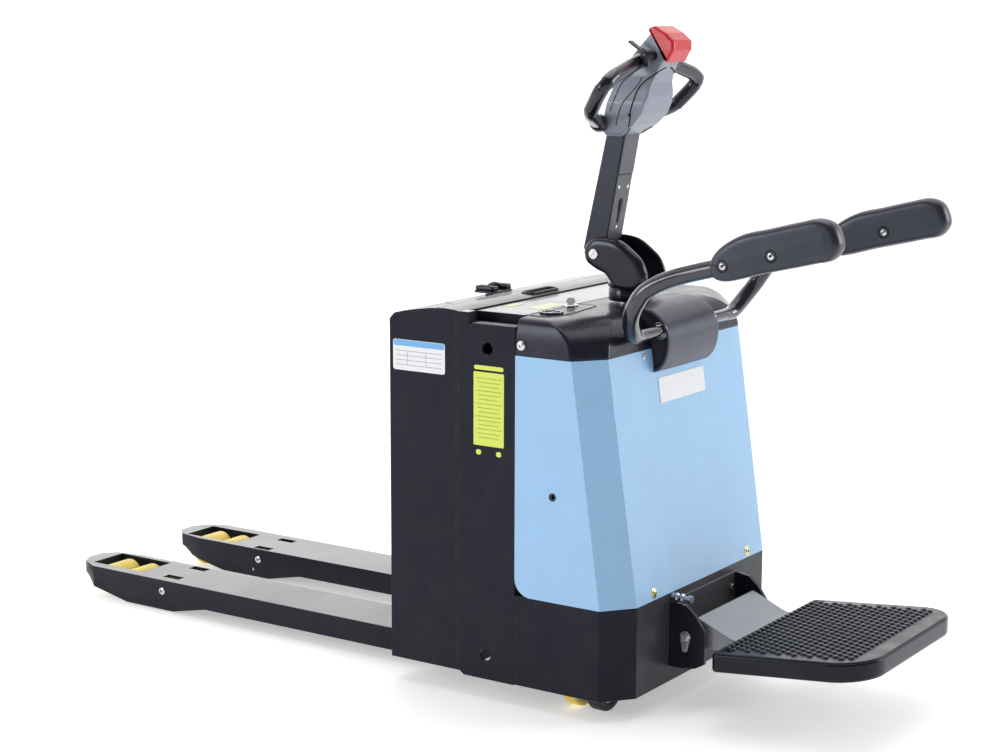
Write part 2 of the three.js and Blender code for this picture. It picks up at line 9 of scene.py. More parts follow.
import bmesh
import bpy
from mathutils import Matrix, Vector
from mathutils.bvhtree import BVHTree

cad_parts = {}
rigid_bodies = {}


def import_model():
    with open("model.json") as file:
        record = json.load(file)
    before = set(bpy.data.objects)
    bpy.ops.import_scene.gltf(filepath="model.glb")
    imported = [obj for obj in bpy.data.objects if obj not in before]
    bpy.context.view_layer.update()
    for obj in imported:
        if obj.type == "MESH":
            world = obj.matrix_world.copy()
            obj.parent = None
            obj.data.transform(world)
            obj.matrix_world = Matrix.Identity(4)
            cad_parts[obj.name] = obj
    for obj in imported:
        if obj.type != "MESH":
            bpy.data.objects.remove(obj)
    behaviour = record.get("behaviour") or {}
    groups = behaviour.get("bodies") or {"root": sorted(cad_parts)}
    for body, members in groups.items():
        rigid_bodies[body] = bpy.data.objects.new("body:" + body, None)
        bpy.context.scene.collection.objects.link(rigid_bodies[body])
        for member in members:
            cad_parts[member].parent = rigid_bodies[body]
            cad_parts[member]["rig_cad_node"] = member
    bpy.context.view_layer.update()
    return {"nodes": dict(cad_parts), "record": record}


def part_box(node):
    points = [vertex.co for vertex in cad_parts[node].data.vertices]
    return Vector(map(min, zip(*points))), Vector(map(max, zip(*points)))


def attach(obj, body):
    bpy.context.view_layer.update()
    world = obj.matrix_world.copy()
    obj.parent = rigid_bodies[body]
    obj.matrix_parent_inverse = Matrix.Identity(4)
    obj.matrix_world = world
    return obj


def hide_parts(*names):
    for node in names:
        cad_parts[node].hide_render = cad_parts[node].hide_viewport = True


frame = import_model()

DRAWING_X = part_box("battery_box")[0].x * 1000  # the drawing's x = 0, in the frame
SIDES = (("left", -1), ("right", 1))
scene = bpy.context.scene


def at(point):
    return Vector(((point[0] + DRAWING_X) / 1000, point[1] / 1000, point[2] / 1000))


# ---- camera ----
CAMERA = {"place": (2879.4, -4193.9, 1578.4), "azimuth": 33.946, "elevation": 10.014,
          "roll": 0.152, "lens": 74.66}


def make_camera():
    a, e, r = (math.radians(CAMERA[k]) for k in ("azimuth", "elevation", "roll"))
    back = Vector((math.sin(a) * math.cos(e), -math.cos(a) * math.cos(e), math.sin(e)))
    right = Vector((math.cos(a), math.sin(a), 0))
    up = back.cross(right)
    right, up = right * math.cos(r) + up * math.sin(r), up * math.cos(r) - right * math.sin(r)
    data = bpy.data.cameras.new("camera")
    data.lens, data.sensor_width = CAMERA["lens"], 36
    camera = bpy.data.objects.new("camera", data)
    scene.collection.objects.link(camera)
    turn = Matrix((right, up, back)).transposed()
    camera.matrix_world = Matrix.Translation(at(CAMERA["place"])) @ turn.to_4x4()
    scene.camera = camera


make_camera()


# ---- shapes: (vertices, faces) in drawing millimetres ----
def joined(*shapes):
    vertices, faces = [], []
    for more, polygons in shapes:
        base = len(vertices)
        vertices += more
        faces += [[i + base for i in polygon] for polygon in polygons]
    return vertices, faces


def lift_to(axis, u, v, t):
    """A point of an outline's plane at place t along the axis across it."""
    return {"x": (t, u, v), "y": (u, t, v), "z": (u, v, t)}[axis]


def prism(outline, axis, low, high):
    count = len(outline)
    vertices = [lift_to(axis, u, v, t) for t in (low, high) for u, v in outline]
    sides = [[i, (i + 1) % count, (i + 1) % count + count, i + count] for i in range(count)]
    return vertices, [list(range(count)), list(range(count, 2 * count)), *sides]


def lathe(profile, sides=48):
    """Turns (radius, height) pairs round the z axis; a zero radius closes an end."""
    vertices, faces, rows = [], [], []
    for radius, height in profile:
        if radius < 1e-6:
            rows.append([len(vertices)] * sides)
            vertices.append((0, 0, height))
            continue
        rows.append(list(range(len(vertices), len(vertices) + sides)))
        for i in range(sides):
            turn = 2 * math.pi * i / sides
            vertices.append((radius * math.cos(turn), radius * math.sin(turn), height))
    for low, high in zip(rows, rows[1:]):
        for i in range(sides):
            j = (i + 1) % sides
            face = list(dict.fromkeys((low[i], low[j], high[j], high[i])))
            if len(face) > 2:
                faces.append(face)
    return vertices, faces


def placed(shape, origin, direction, turn=0.0):
    """Moves a shape from the origin to a point, with its z axis along a direction."""
    aim = Vector(direction).normalized().to_track_quat("Z", "Y").to_matrix().to_4x4()
    matrix = Matrix.Translation(Vector(origin)) @ aim @ Matrix.Rotation(turn, 4, "Z")
    return [tuple(matrix @ Vector(v)) for v in shape[0]], shape[1]


def loft(rings, caps=True):
    count = len(rings[0])
    vertices = [tuple(p) for ring in rings for p in ring]
    faces = []
    for r in range(len(rings) - 1):
        for i in range(count):
            j = (i + 1) % count
            faces.append([r * count + i, r * count + j, (r + 1) * count + j, (r + 1) * count + i])
    if caps:
        last = (len(rings) - 1) * count
        faces += [list(range(count))[::-1], list(range(last, last + count))]
    return vertices, faces


def curve_points(points, steps):
    """A smooth curve through points, at even parts of each span (centripetal Catmull-Rom)."""
    p = [Vector(v) for v in points]
    p = [2 * p[0] - p[1], *p, 2 * p[-1] - p[-2]]
    out = []
    for a, b, c, d in zip(p, p[1:], p[2:], p[3:]):
        ta = 0.0
        tb = ta + max((b - a).length, 1e-6) ** 0.5
        tc = tb + max((c - b).length, 1e-6) ** 0.5
        td = tc + max((d - c).length, 1e-6) ** 0.5
        for i in range(steps):
            t = tb + (tc - tb) * i / steps
            ab = a.lerp(b, (t - ta) / (tb - ta))
            bc = b.lerp(c, (t - tb) / (tc - tb))
            cd = c.lerp(d, (t - tc) / (td - tc))
            out.append(ab.lerp(bc, (t - ta) / (tc - ta)).lerp(
                bc.lerp(cd, (t - tb) / (td - tb)), (t - tb) / (tc - tb)))
    return out + [p[-2]]


END_BULGE = 0.35  # how far a tube's rounded end stands out, as a share of its radius


def tube(points, radius, sides=20, closed=False):
    """A round tube along points; radius is a number or one for each point."""
    path = [Vector(v) for v in points]
    radii = [radius] * len(path) if isinstance(radius, (int, float)) else list(radius)
    ahead = []
    for i in range(len(path)):
        low = path[i - 1] if closed or i else path[i]
        high = path[(i + 1) % len(path)] if closed or i + 1 < len(path) else path[i]
        ahead.append((high - low).normalized())
    normal = ahead[0].orthogonal().normalized()
    rings = []

    def ring(centre, tangent, size):
        side = tangent.cross(normal)
        rings.append([centre + size * (math.cos(2 * math.pi * k / sides) * normal
                                       + math.sin(2 * math.pi * k / sides) * side)
                      for k in range(sides)])

    def end(k, way, steps):
        """The rings of a rounded end, which bulges by a share of the radius."""
        for step in () if closed else steps:
            bend = math.radians(step)
            ring(path[k] + way * ahead[k] * radii[k] * END_BULGE * math.sin(bend), ahead[k],
                 radii[k] * (1 - END_BULGE + END_BULGE * math.cos(bend)))

    end(0, -1, (80, 60, 40, 20))
    for centre, tangent, size in zip(path, ahead, radii):
        normal = (normal - tangent * normal.dot(tangent)).normalized()
        ring(centre, tangent, size)
    end(-1, 1, (20, 40, 60, 80))
    if closed:
        rings.append(rings[0])
    return loft(rings, caps=not closed)


def filleted(outline, radii, steps=6):
    """A closed outline with each corner rounded by its radius (one number, or one a corner)."""
    count = len(outline)
    sizes = [radii] * count if isinstance(radii, (int, float)) else radii
    out = []
    for i, corner in enumerate(outline):
        a, b, c = (Vector(outline[i - 1]), Vector(corner), Vector(outline[(i + 1) % count]))
        before, after = (a - b).normalized(), (c - b).normalized()
        half = before.angle(after) / 2
        size = sizes[i]
        reach = size / math.tan(half) if size else 0
        longest = 0.48 * min((a - b).length, (c - b).length)
        if reach > longest:
            size, reach = size * longest / reach, longest
        if size < 1e-6 or half > math.pi / 2 - 1e-3:
            out += [tuple(b)] * (steps + 1 if size else 1)
            continue
        middle = b + (before + after).normalized() * size / math.sin(half)
        start, end = b + before * reach - middle, b + after * reach - middle
        first = math.atan2(start.y, start.x)
        sweep = (math.atan2(end.y, end.x) - first + math.pi) % (2 * math.pi) - math.pi
        for k in range(steps + 1):
            turn = first + sweep * k / steps
            out.append((middle.x + size * math.cos(turn), middle.y + size * math.sin(turn)))
    return out


def shrunk(outline, distance):
    """A smooth closed outline with each point moved inward along its own normal."""
    count = len(outline)
    area = sum(outline[i - 1][0] * outline[i][1] - outline[i][0] * outline[i - 1][1]
               for i in range(count))
    d = math.copysign(distance, area)
    out = []
    for i, (x, y) in enumerate(outline):
        (ax, ay), (bx, by) = outline[i - 1], outline[(i + 1) % count]
        long = math.hypot(bx - ax, by - ay) or 1
        out.append((x - d * (by - ay) / long, y + d * (bx - ax) / long))
    return out


def rectangle(u0, v0, u1, v1):
    return [(u0, v0), (u1, v0), (u1, v1), (u0, v1)]


def smooth_outline(points, steps):
    """A closed outline in x and z as a smooth curve through its points."""
    line = curve_points([(x, 0, z) for x, z in (*points, points[0])], steps)
    return [(p.x, p.z) for p in line][:-1]


def mirrored(points, s):
    """Points of the +y side, on the side that s names."""
    return [(x, s * y, z) for x, y, z in points]


def stacked(outline, steps):
    """Rings of an outline in x and y, each at its height and moved inward."""
    return [[(u, v, z) for u, v in shrunk(outline, inset)] for z, inset in steps]


# ---- pieces ----
def linked(name, data):
    thing = bpy.data.objects.new(name, data)
    scene.collection.objects.link(thing)
    return thing


def shown(name, mesh, look, body):
    thing = linked(name, mesh)
    mesh.materials.clear()
    mesh.materials.append(look)
    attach(thing, body)
    return thing


def piece(name, shape, look, body, smooth=True):
    mesh = bpy.data.meshes.new(name)
    mesh.from_pydata([at(v) for v in shape[0]], [], shape[1])
    made = bmesh.new()
    made.from_mesh(mesh)
    bmesh.ops.remove_doubles(made, verts=made.verts, dist=1e-6)
    bmesh.ops.recalc_face_normals(made, faces=made.faces)
    made.to_mesh(mesh)
    made.free()
    mesh.polygons.foreach_set("use_smooth", [smooth] * len(mesh.polygons))
    return shown(name, mesh, look, body)


def turned(name, profile, place, direction, look, body, sides=48):
    """A piece turned round an axis through a place."""
    return piece(name, placed(lathe(profile, sides), place, direction), look, body)


def evened(thing):
    """Shades a piece by the areas of its faces."""
    thing.modifiers.new("shade", "WEIGHTED_NORMAL").keep_sharp = False
    return thing


SHARP_ANGLE = 30  # edges sharper than this, in degrees, get rounded


def softened(thing, width, segments=3):
    """Rounds a piece's edges, and shades its flats flat."""
    if "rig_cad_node" in thing:
        weld = thing.modifiers.new("weld", "WELD")
        weld.merge_threshold = 1e-5
    edges = thing.modifiers.new("edges", "BEVEL")
    edges.width, edges.segments = width / 1000, segments
    edges.limit_method, edges.angle_limit = "ANGLE", math.radians(SHARP_ANGLE)
    shade = thing.modifiers.new("shade", "WEIGHTED_NORMAL")
    shade.keep_sharp = False
    thing.data.polygons.foreach_set("use_smooth", [True] * len(thing.data.polygons))
    return thing


def moulded(name, node, look, body, voxel, rounds):
    """A moulding with soft edges in the place of a CAD node."""
    mesh = frame["nodes"][node].data.copy()
    mesh.name = name
    thing = shown(name, mesh, look, body)
    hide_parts(node)
    again = thing.modifiers.new("skin", "REMESH")
    again.mode, again.voxel_size, again.use_smooth_shade = "VOXEL", voxel / 1000, True
    ease = thing.modifiers.new("ease", "SMOOTH")
    ease.factor, ease.iterations = 0.5, rounds
    baked = bpy.data.meshes.new_from_object(
        thing.evaluated_get(bpy.context.evaluated_depsgraph_get()))
    thing.modifiers.clear()
    thing.data = baked
    baked.materials.clear()
    baked.materials.append(look)
    return thing


# ---- materials ----
class Look:
    """A procedural material: each call adds one kind of detail to the shader's inputs."""

    def __init__(self, name, color, rough, metal=0.0, coat=0.0, coat_rough=0.1, specular=0.5,
                 sheen=0.0, tint=(1, 1, 1)):
        self.material = bpy.data.materials.new(name)
        self.material.use_nodes = True
        self.tree = self.material.node_tree
        self.shader = self.tree.nodes["Principled BSDF"]
        self.set("Metallic", metal)
        self.set("Coat Weight", coat)
        self.set("Coat Roughness", coat_rough)
        self.set("Specular IOR Level", specular)
        self.set("Sheen Weight", sheen)
        self.set("Sheen Roughness", 0.35)
        self.shader.inputs["Specular Tint"].default_value = (*tint, 1)
        self.place = self.node("ShaderNodeTexCoord").outputs["Object"]
        base = self.node("ShaderNodeRGB")
        base.outputs[0].default_value = (*color, 1)
        self.color = base.outputs[0]
        start = self.node("ShaderNodeValue")
        start.outputs[0].default_value = rough
        self.rough = start.outputs[0]
        self.normal = None

    def node(self, kind, **values):
        made = self.tree.nodes.new(kind)
        for key, value in values.items():
            setattr(made, key, value)
        return made

    def link(self, source, target):
        self.tree.links.new(source, target)

    def set(self, socket, value):
        self.shader.inputs[socket].default_value = value

    def math(self, operation, a, b):
        made = self.node("ShaderNodeMath", operation=operation)
        for socket, value in zip(made.inputs, (a, b)):
            if isinstance(value, (int, float)):
                socket.default_value = value
            else:
                self.link(value, socket)
        return made.outputs[0]

    def ramp(self, source, low, high, to_low=0.0, to_high=1.0):
        made = self.node("ShaderNodeMapRange")
        self.link(source, made.inputs["Value"])
        for key, value in (("From Min", low), ("From Max", high), ("To Min", to_low),
                           ("To Max", to_high)):
            made.inputs[key].default_value = value
        return made.outputs["Result"]

    def texture(self, kind, stretch, output, **values):
        mapping = self.node("ShaderNodeMapping")
        mapping.inputs["Scale"].default_value = stretch
        self.link(self.place, mapping.inputs["Vector"])
        made = self.node(kind)
        for key, value in values.items():
            made.inputs[key].default_value = value
        self.link(mapping.outputs[0], made.inputs["Vector"])
        return made.outputs[output]

    def noise(self, scale, detail=4.0, stretch=(1, 1, 1), distortion=0.0):
        return self.texture("ShaderNodeTexNoise", stretch, 0, Scale=scale, Detail=detail,
                            Distortion=distortion)

    def cells(self, scale):
        return self.texture("ShaderNodeTexVoronoi", (1, 1, 1), "Distance", Scale=scale)

    def mix(self, share, color):
        """Lays another colour over the base by a share from 0 to 1."""
        made = self.node("ShaderNodeMix", data_type="RGBA")
        self.link(share, made.inputs["Factor"])
        self.link(self.color, made.inputs["A"])
        made.inputs["B"].default_value = (*color, 1)
        self.color = made.outputs["Result"]
        return self

    def mottled(self, scale, light, amount):
        return self.mix(self.ramp(self.noise(scale), 0.3, 0.7, 0, amount), light)

    def varied(self, scale, amount, stretch=(1, 1, 1)):
        """Patches of more and less gloss."""
        patch = self.ramp(self.noise(scale, 5, stretch), 0.3, 0.7, -amount, amount)
        self.rough = self.math("ADD", self.rough, patch)
        return self

    def bumped(self, height, strength, distance):
        made = self.node("ShaderNodeBump")
        made.inputs["Strength"].default_value = strength
        made.inputs["Distance"].default_value = distance / 1000
        self.link(height, made.inputs["Height"])
        if self.normal is not None:
            self.link(self.normal, made.inputs["Normal"])
        self.normal = made.outputs[0]
        return self

    def scratched(self, light, amount, scale=60, stretch=(1, 1, 14), level=0.72):
        """Fine long rubs that show a lighter colour and less gloss."""
        line = self.ramp(self.noise(scale, 2, stretch, 0.4), level, level + 0.08, 0, amount)
        self.mix(line, light)
        self.rough = self.math("ADD", self.rough, self.math("MULTIPLY", line, 0.5))
        return self

    def facing_up(self, low, high, most=1.0):
        """Rises from 0 to most as a face turns up, between two heights of its normal."""
        geometry = self.node("ShaderNodeNewGeometry")
        split = self.node("ShaderNodeSeparateXYZ")
        self.link(geometry.outputs["Normal"], split.inputs[0])
        return self.ramp(split.outputs["Z"], low, high, 0, most)

    def dusted_and_highlighted(self, light, amount):
        """A little dust on what faces up, and a painted highlight: the lighter colour mixed in there also
        stands in for the bright reflection on tops.
        """
        up = self.facing_up(0.5, 1.0)
        patch = self.ramp(self.noise(9, 6), 0.35, 0.75, 0.2, 1)
        share = self.math("MULTIPLY", self.math("MULTIPLY", up, patch), amount)
        self.mix(share, light)
        self.rough = self.math("ADD", self.rough, self.math("MULTIPLY", share, 1.5))
        return self

    def polished_top(self, weight):
        """A glossier skin on what faces up, where the top surfaces are wiped clean."""
        patch = self.ramp(self.noise(6, 3), 0.3, 0.7, 0.85, 1)
        up = self.math("MULTIPLY", self.facing_up(0.75, 0.98, weight), patch)
        self.link(up, self.shader.inputs["Coat Weight"])
        return self

    def done(self):
        self.link(self.color, self.shader.inputs["Base Color"])
        top = self.node("ShaderNodeMath", operation="MAXIMUM")
        self.link(self.rough, top.inputs[0])
        top.inputs[1].default_value = 0.05
        self.link(top.outputs[0], self.shader.inputs["Roughness"])
        if self.normal is not None:
            self.link(self.normal, self.shader.inputs["Normal"])
        return self.material


def paint(name, color, rough, coat, dust_and_highlight, wear, specular=0.5, sheen=0.0, tint=(1, 1, 1), top=0.0):
    look = Look(name, color, rough, coat=coat, coat_rough=0.12, specular=specular, sheen=sheen,
                tint=tint)
    if top:
        look.polished_top(top)
    look.mottled(14, tuple(0.9 * c + 0.012 for c in color), 0.5).varied(11, 0.05)
    look.scratched(tuple(min(1, 1.3 * c + 0.03) for c in color), wear, 26, (1, 1, 9), 0.74)
    # Dust and a painted highlight on what faces up.
    look.dusted_and_highlighted((0.30, 0.30, 0.31), dust_and_highlight)
    look.bumped(look.noise(420, 2), 0.16, 0.25)
    return look.done()


def plastic(name, color, rough, grain, depth=0.12, coat=0.0, specular=0.5, tint=(1, 1, 1)):
    look = Look(name, color, rough, coat=coat, coat_rough=0.15, specular=specular, tint=tint)
    look.mottled(22, tuple(1.15 * c + 0.008 for c in color), 0.6).varied(17, 0.05)
    look.dusted_and_highlighted((0.32, 0.32, 0.33), 0.012)
    look.bumped(look.cells(grain), 0.35, depth).bumped(look.noise(grain * 0.4, 3), 0.2, depth)
    return look.done()


def metal(name, color, rough, brushed=(1, 1, 12)):
    look = Look(name, color, rough, metal=1.0)
    look.mottled(45, tuple(0.72 * c for c in color), 0.55).varied(60, 0.09)
    look.scratched(tuple(min(1, 1.2 * c) for c in color), 0.35, 90, brushed, 0.62)
    look.bumped(look.noise(300, 3, brushed), 0.25, 0.08)
    return look.done()


BLACK = (0.0080, 0.0082, 0.0150)
COOL = (0.80, 0.83, 1.0)
BLUE = (0.320, 0.555, 0.830)

# The fifth value is dust and a painted highlight on upward faces. On these two black paints it is set high,
# so tops show lighter in place of their bright reflection.
black_paint = paint("black_powder_coat", BLACK, 0.30, 0.0, 0.16, 0.08, 0.14, 0.7, COOL, 0.8)
lid_paint = paint("black_lid_coat", BLACK, 0.34, 0.0, 0.16, 0.08, 0.14, 0.5, COOL, 0.55)
tube_paint = paint("black_tube_paint", (0.006, 0.0062, 0.0105), 0.18, 0.8, 0.0, 0.06, 0.5, 0.0,
                   COOL)
# The platform neck is black paint. Its grey colour is a painted reflection of the bright surroundings, and
# its dust value also paints a highlight on top.
flap_grey_painted_reflection = paint("black_paint_with_painted_grey_reflection", (0.225, 0.232, 0.275), 0.30, 0.4, 0.10, 0.08, 0.5)
tiller_paint = paint("grey_black_powder_coat", (0.017, 0.018, 0.027), 0.36, 0.0, 0.01, 0.08, 0.4,
                     0.0, COOL)
deck_paint = paint("glossy_black_paint", (0.005, 0.0052, 0.0085), 0.17, 0.0, 0.01, 0.08, 0.26, 0.0,
                   COOL)
blue_paint = paint("light_blue_powder_coat", BLUE, 0.34, 0.1, 0.02, 0.10)
cover_plastic = plastic("moulded_black_cover", (0.0095, 0.0098, 0.0170), 0.27, 900, 0.10, 0.05, 0.34,
                        COOL)
gloss_plastic = plastic("glossy_black_moulding", (0.0075, 0.0078, 0.0135), 0.20, 700, 0.05, 0.15, 0.4,
                        COOL)
shroud_plastic = plastic("satin_black_moulding", (0.032, 0.0335, 0.052), 0.36, 800, 0.08, 0.0, 0.55,
                         COOL)
handle_plastic = plastic("polished_handle_plastic", (0.0050, 0.0048, 0.0085), 0.17, 700, 0.04, 0.3,
                         0.45, COOL)
grip_plastic = plastic("grip_black_plastic", (0.010, 0.0103, 0.0150), 0.30, 800, 0.10, 0.1, 0.4, COOL)
head_plastic = plastic("blue_grey_plastic", (0.205, 0.232, 0.290), 0.34, 850, 0.08, 0.15)
panel_plastic = plastic("grey_cover_plastic", (0.062, 0.068, 0.086), 0.40, 800, 0.08)
red_plastic = plastic("glossy_red_plastic", (0.54, 0.008, 0.018), 0.24, 500, 0.04, 0.1, 0.4)
zinc = metal("zinc_plated_steel", (0.66, 0.67, 0.69), 0.27)
yellow_zinc = metal("yellow_zinc_steel", (0.72, 0.66, 0.34), 0.30)
dark_steel = metal("oiled_dark_steel", (0.20, 0.20, 0.21), 0.42)
chrome = metal("polished_steel", (0.74, 0.74, 0.76), 0.12)
# The key is plated metal. This pale plastic colour is a painted reflection, standing in for its bright
# shine.
key_painted_reflection = plastic("key_pale_painted_reflection", (0.80, 0.80, 0.83), 0.28, 900, 0.04, 0.4)


def rubber(name, color, rough):
    look = Look(name, color, rough, specular=0.4, tint=COOL)
    look.mottled(35, tuple(1.5 * c + 0.008 for c in color), 0.6).varied(24, 0.07)
    look.dusted_and_highlighted((0.22, 0.22, 0.22), 0.02)
    look.bumped(look.noise(650, 4), 0.4, 0.16)
    return look.done()


mat_rubber = rubber("studded_mat_rubber", (0.013, 0.0135, 0.016), 0.34)
tyre_rubber = rubber("tyre_rubber", (0.013, 0.013, 0.014), 0.55)
# Near-black for dark joints and screws, and painted shade: sheets and cups set where openings, gaps and
# recesses fall into shade.
dark_joint_and_painted_shade = rubber("dark_joint_and_painted_recess_shade", (0.004, 0.004, 0.005), 0.7)


def foam_look():
    look = Look("self_skinned_foam", (0.0145, 0.0150, 0.0215), 0.34, specular=0.6, tint=COOL)
    look.mottled(18, (0.030, 0.031, 0.036), 0.6).varied(14, 0.06)
    look.dusted_and_highlighted((0.25, 0.25, 0.26), 0.015)
    look.bumped(look.cells(520), 0.5, 0.22).bumped(look.noise(120, 5), 0.25, 0.3)
    return look.done()


def tread_look():
    look = Look("cast_yellow_polyurethane", (0.83, 0.62, 0.075), 0.34, coat=0.2)
    look.set("Subsurface Weight", 0.12)
    look.set("Subsurface Scale", 0.004)
    look.mottled(30, (0.70, 0.47, 0.05), 0.5).varied(28, 0.08)
    look.scratched((0.30, 0.25, 0.12), 0.5, 120, (1, 14, 1), 0.66)
    look.bumped(look.noise(500, 3), 0.2, 0.12)
    return look.done()


def film(name, color, rough=0.30):
    look = Look(name, color, rough, coat=0.1)
    look.mottled(60, tuple(0.95 * c for c in color), 0.5).varied(40, 0.04)
    look.bumped(look.noise(260, 2), 0.06, 0.03)
    return look.done()


pad_foam = foam_look()
yellow_tread = tread_look()
label_white = film("white_label_film", (0.80, 0.81, 0.83))
label_blue = film("blue_label_film", (0.16, 0.42, 0.78))
label_yellow = film("yellow_green_label_film", (0.68, 0.78, 0.10))
label_faint = film("pale_yellow_label_film", (0.72, 0.70, 0.36))
label_rule = film("olive_label_rule", (0.30, 0.36, 0.06))
label_line = film("grey_label_rule", (0.16, 0.17, 0.20))

SLOT_LOOKS = {"black_paint": black_paint, "blue_paint": blue_paint, "black_plastic": cover_plastic,
              "grey_plastic": head_plastic, "red_plastic": red_plastic, "steel": zinc,
              "black_rubber": tyre_rubber, "yellow_tread": yellow_tread, "pad_foam": pad_foam}
NODE_LOOKS = {"tiller_arm": tiller_paint, "battery_lid": lid_paint, "lift_rod": chrome,
              "drive_gearbox": dark_steel, "hydraulic_unit": dark_steel}
for stem in ("roller_arm", "bogie", "push_rod"):
    NODE_LOOKS.update({f"{stem}_{side}": dark_steel for side, _ in SIDES})
NODE_EDGES = {"fork": 2.2, "battery_box": 1.5, "battery_lid": 1.0, "side_plate": 1.4,
              "top_strip": 0.9, "base_frame": 2.2, "hood_panel": 1.3, "platform_ears": 1.6,
              "tiller_arm": 2.0, "castor_fork": 1.0, "cross_plate": 1.0, "platform_plate": 2.5}
SHARP = 0.4  # edge rounding of a CAD node that isn't named above


def dress_nodes():
    """Gives every CAD node its slot's material and rounded edges."""
    slots = {row["node"]: row["material_slot"] for row in frame["record"]["subparts"]}
    for name, node in frame["nodes"].items():
        look = NODE_LOOKS.get(name, SLOT_LOOKS[slots[name]])
        node.data.materials.clear()
        node.data.materials.append(look)
        width = next((w for stem, w in NODE_EDGES.items() if name.startswith(stem)), SHARP)
        softened(node, width)


dress_nodes()


# ---- rollers and wheels ----
def rounded_band(radius, half, corner, bore, dish):
    """Half of a wheel's section, from its bore out over the tread and back."""
    arc = [(radius - corner + corner * math.cos(math.radians(a)),
            half - corner + corner * math.sin(math.radians(a))) for a in range(0, 91, 15)]
    side = [(radius * 0.80, half), (radius * 0.76, half - dish * 0.4), (radius * 0.72, half - dish),
            (bore, half - dish)]
    upper = arc + side
    lower = [(r, -h) for r, h in reversed(upper)]
    return [*lower, *upper, lower[0]]


def hub_profile(outer, half, bore):
    upper = [(outer, half - 1.5), (outer - 1.2, half), (outer - 4, half), (outer - 5, half - 2),
             (bore + 5, half - 2), (bore + 4, half + 1), (bore, half + 1)]
    lower = [(r, -h) for r, h in reversed(upper)]
    return [*lower, *upper, lower[0]]


ROLLER = {"radius": 40, "half": 42, "xs": (("front", -1073), ("rear", -987)), "y": 188, "bore": 8.6}
for side, s in SIDES:
    for end, x in ROLLER["xs"]:
        body = f"load_roller_{end}_{side}"
        centre = (x, s * ROLLER["y"], ROLLER["radius"])
        tyre = piece(f"roller_tread_{end}_{side}", placed(
            lathe(rounded_band(ROLLER["radius"], ROLLER["half"], 3.5, 24, 3)), centre, (0, 1, 0)),
            yellow_tread, body)
        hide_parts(body)
        piece(f"roller_hub_{end}_{side}", placed(
            lathe(hub_profile(24.2, 38, ROLLER["bore"])), centre, (0, 1, 0)), zinc, body)

DRIVE = {"x": 425, "radius": 115, "half": 37, "bore": 18.8}
drive_tyre = piece("drive_tyre", placed(
    lathe(rounded_band(DRIVE["radius"], DRIVE["half"], 7, 78, 5), 72),
    (DRIVE["x"], 0, DRIVE["radius"]), (0, 1, 0)), tyre_rubber, "drive_wheel")
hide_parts("drive_wheel")
turned("drive_hub", hub_profile(78.5, 31, DRIVE["bore"]), (DRIVE["x"], 0, DRIVE["radius"]),
    (0, 1, 0), zinc, "drive_wheel", 72)

CASTOR = {"x": 507, "y": 285, "radius": 57, "half": 18, "offset": 32, "bore": 8.6}
for side, s in SIDES:
    body = f"castor_wheels_{side}"
    for tag, way in (("fork_side", -1), ("step_side", 1)):
        centre = (CASTOR["x"] + way * CASTOR["offset"], s * CASTOR["y"], CASTOR["radius"])
        tread = piece(f"castor_tread_{tag}_{side}", placed(
            lathe(rounded_band(CASTOR["radius"], CASTOR["half"], 6, 38, 3), 56), centre, (1, 0, 0)),
            yellow_tread if way < 0 else tyre_rubber, body)
        if way < 0:
            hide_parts(body)
        piece(f"castor_hub_{tag}_{side}", placed(
            lathe(hub_profile(38.3, 15, CASTOR["bore"]), 56), centre, (1, 0, 0)),
            zinc, body)


# ---- top cover, shroud and steering head ----
COVER_RINGS = (  # height, half width, corner x, tail x, half width of the tail
    (817.3, 380, 500, 553, 309), (822, 380.5, 500, 553.5, 309), (850, 378, 495, 549, 300),
    (866, 377, 484, 542, 284), (880, 374, 470, 533, 262), (889, 371, 456, 523, 246),
    (894.5, 367, 444, 512, 232), (898, 362, 436, 501, 224), (900, 354, 426, 486, 214),
    (900.3, 340, 415, 470, 200))
COVER_FRONT = 353


def cover_ring(z, y, corner, tail, tail_y):
    plan = [(COVER_FRONT, -y), (corner, -y), (tail, -tail_y), (tail, tail_y), (corner, y),
            (COVER_FRONT, y)]
    return [(u, v, z) for u, v in filleted(plan, [2, 13, 13, 13, 13, 2], 5)]


cover = piece("top_cover_shell", loft([cover_ring(*ring) for ring in COVER_RINGS]),
              cover_plastic, "chassis")
evened(cover)
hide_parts("top_cover")
softened(piece("top_cover_ledge", prism(
    filleted(rectangle(338, -316, 352, 316), 2), "z", 893, 899.6),
    cover_plastic, "chassis"), 1.2)
seat_line = filleted([(345, -322), (398, -322), (420, -255), (398, -96), (345, -96)], 14, 8)
seat = piece("instrument_seat", loft(stacked(seat_line, (
    (898, 0), (901.2, 0.6), (902, 2.2), (901.4, 4.5), (900.9, 6), (900.9, 12)))),
    cover_plastic, "chassis")
softened(seat, 0.3, 2)

SHROUD = [(478, 784), (515, 773), (555, 762), (568, 764), (578, 771), (590, 787), (598, 811),
          (600, 838), (597, 856), (589, 873), (575, 890), (556, 903), (538, 909), (515, 913),
          (478, 915)]
shroud_line = [(478, 784), *[(p.x, p.z) for p in curve_points(
    [(x, 0, z) for x, z in SHROUD[1:-1]], 5)], (478, 915)]


def shroud_ring(y, inset):
    cx, cz = 530, 840
    ring = []
    for x, z in shroud_line:
        long = math.hypot(x - cx, z - cz)
        keep = max(0.0, 1 - inset / long)
        ring.append((cx + (x - cx) * keep, y, cz + (z - cz) * keep))
    return ring


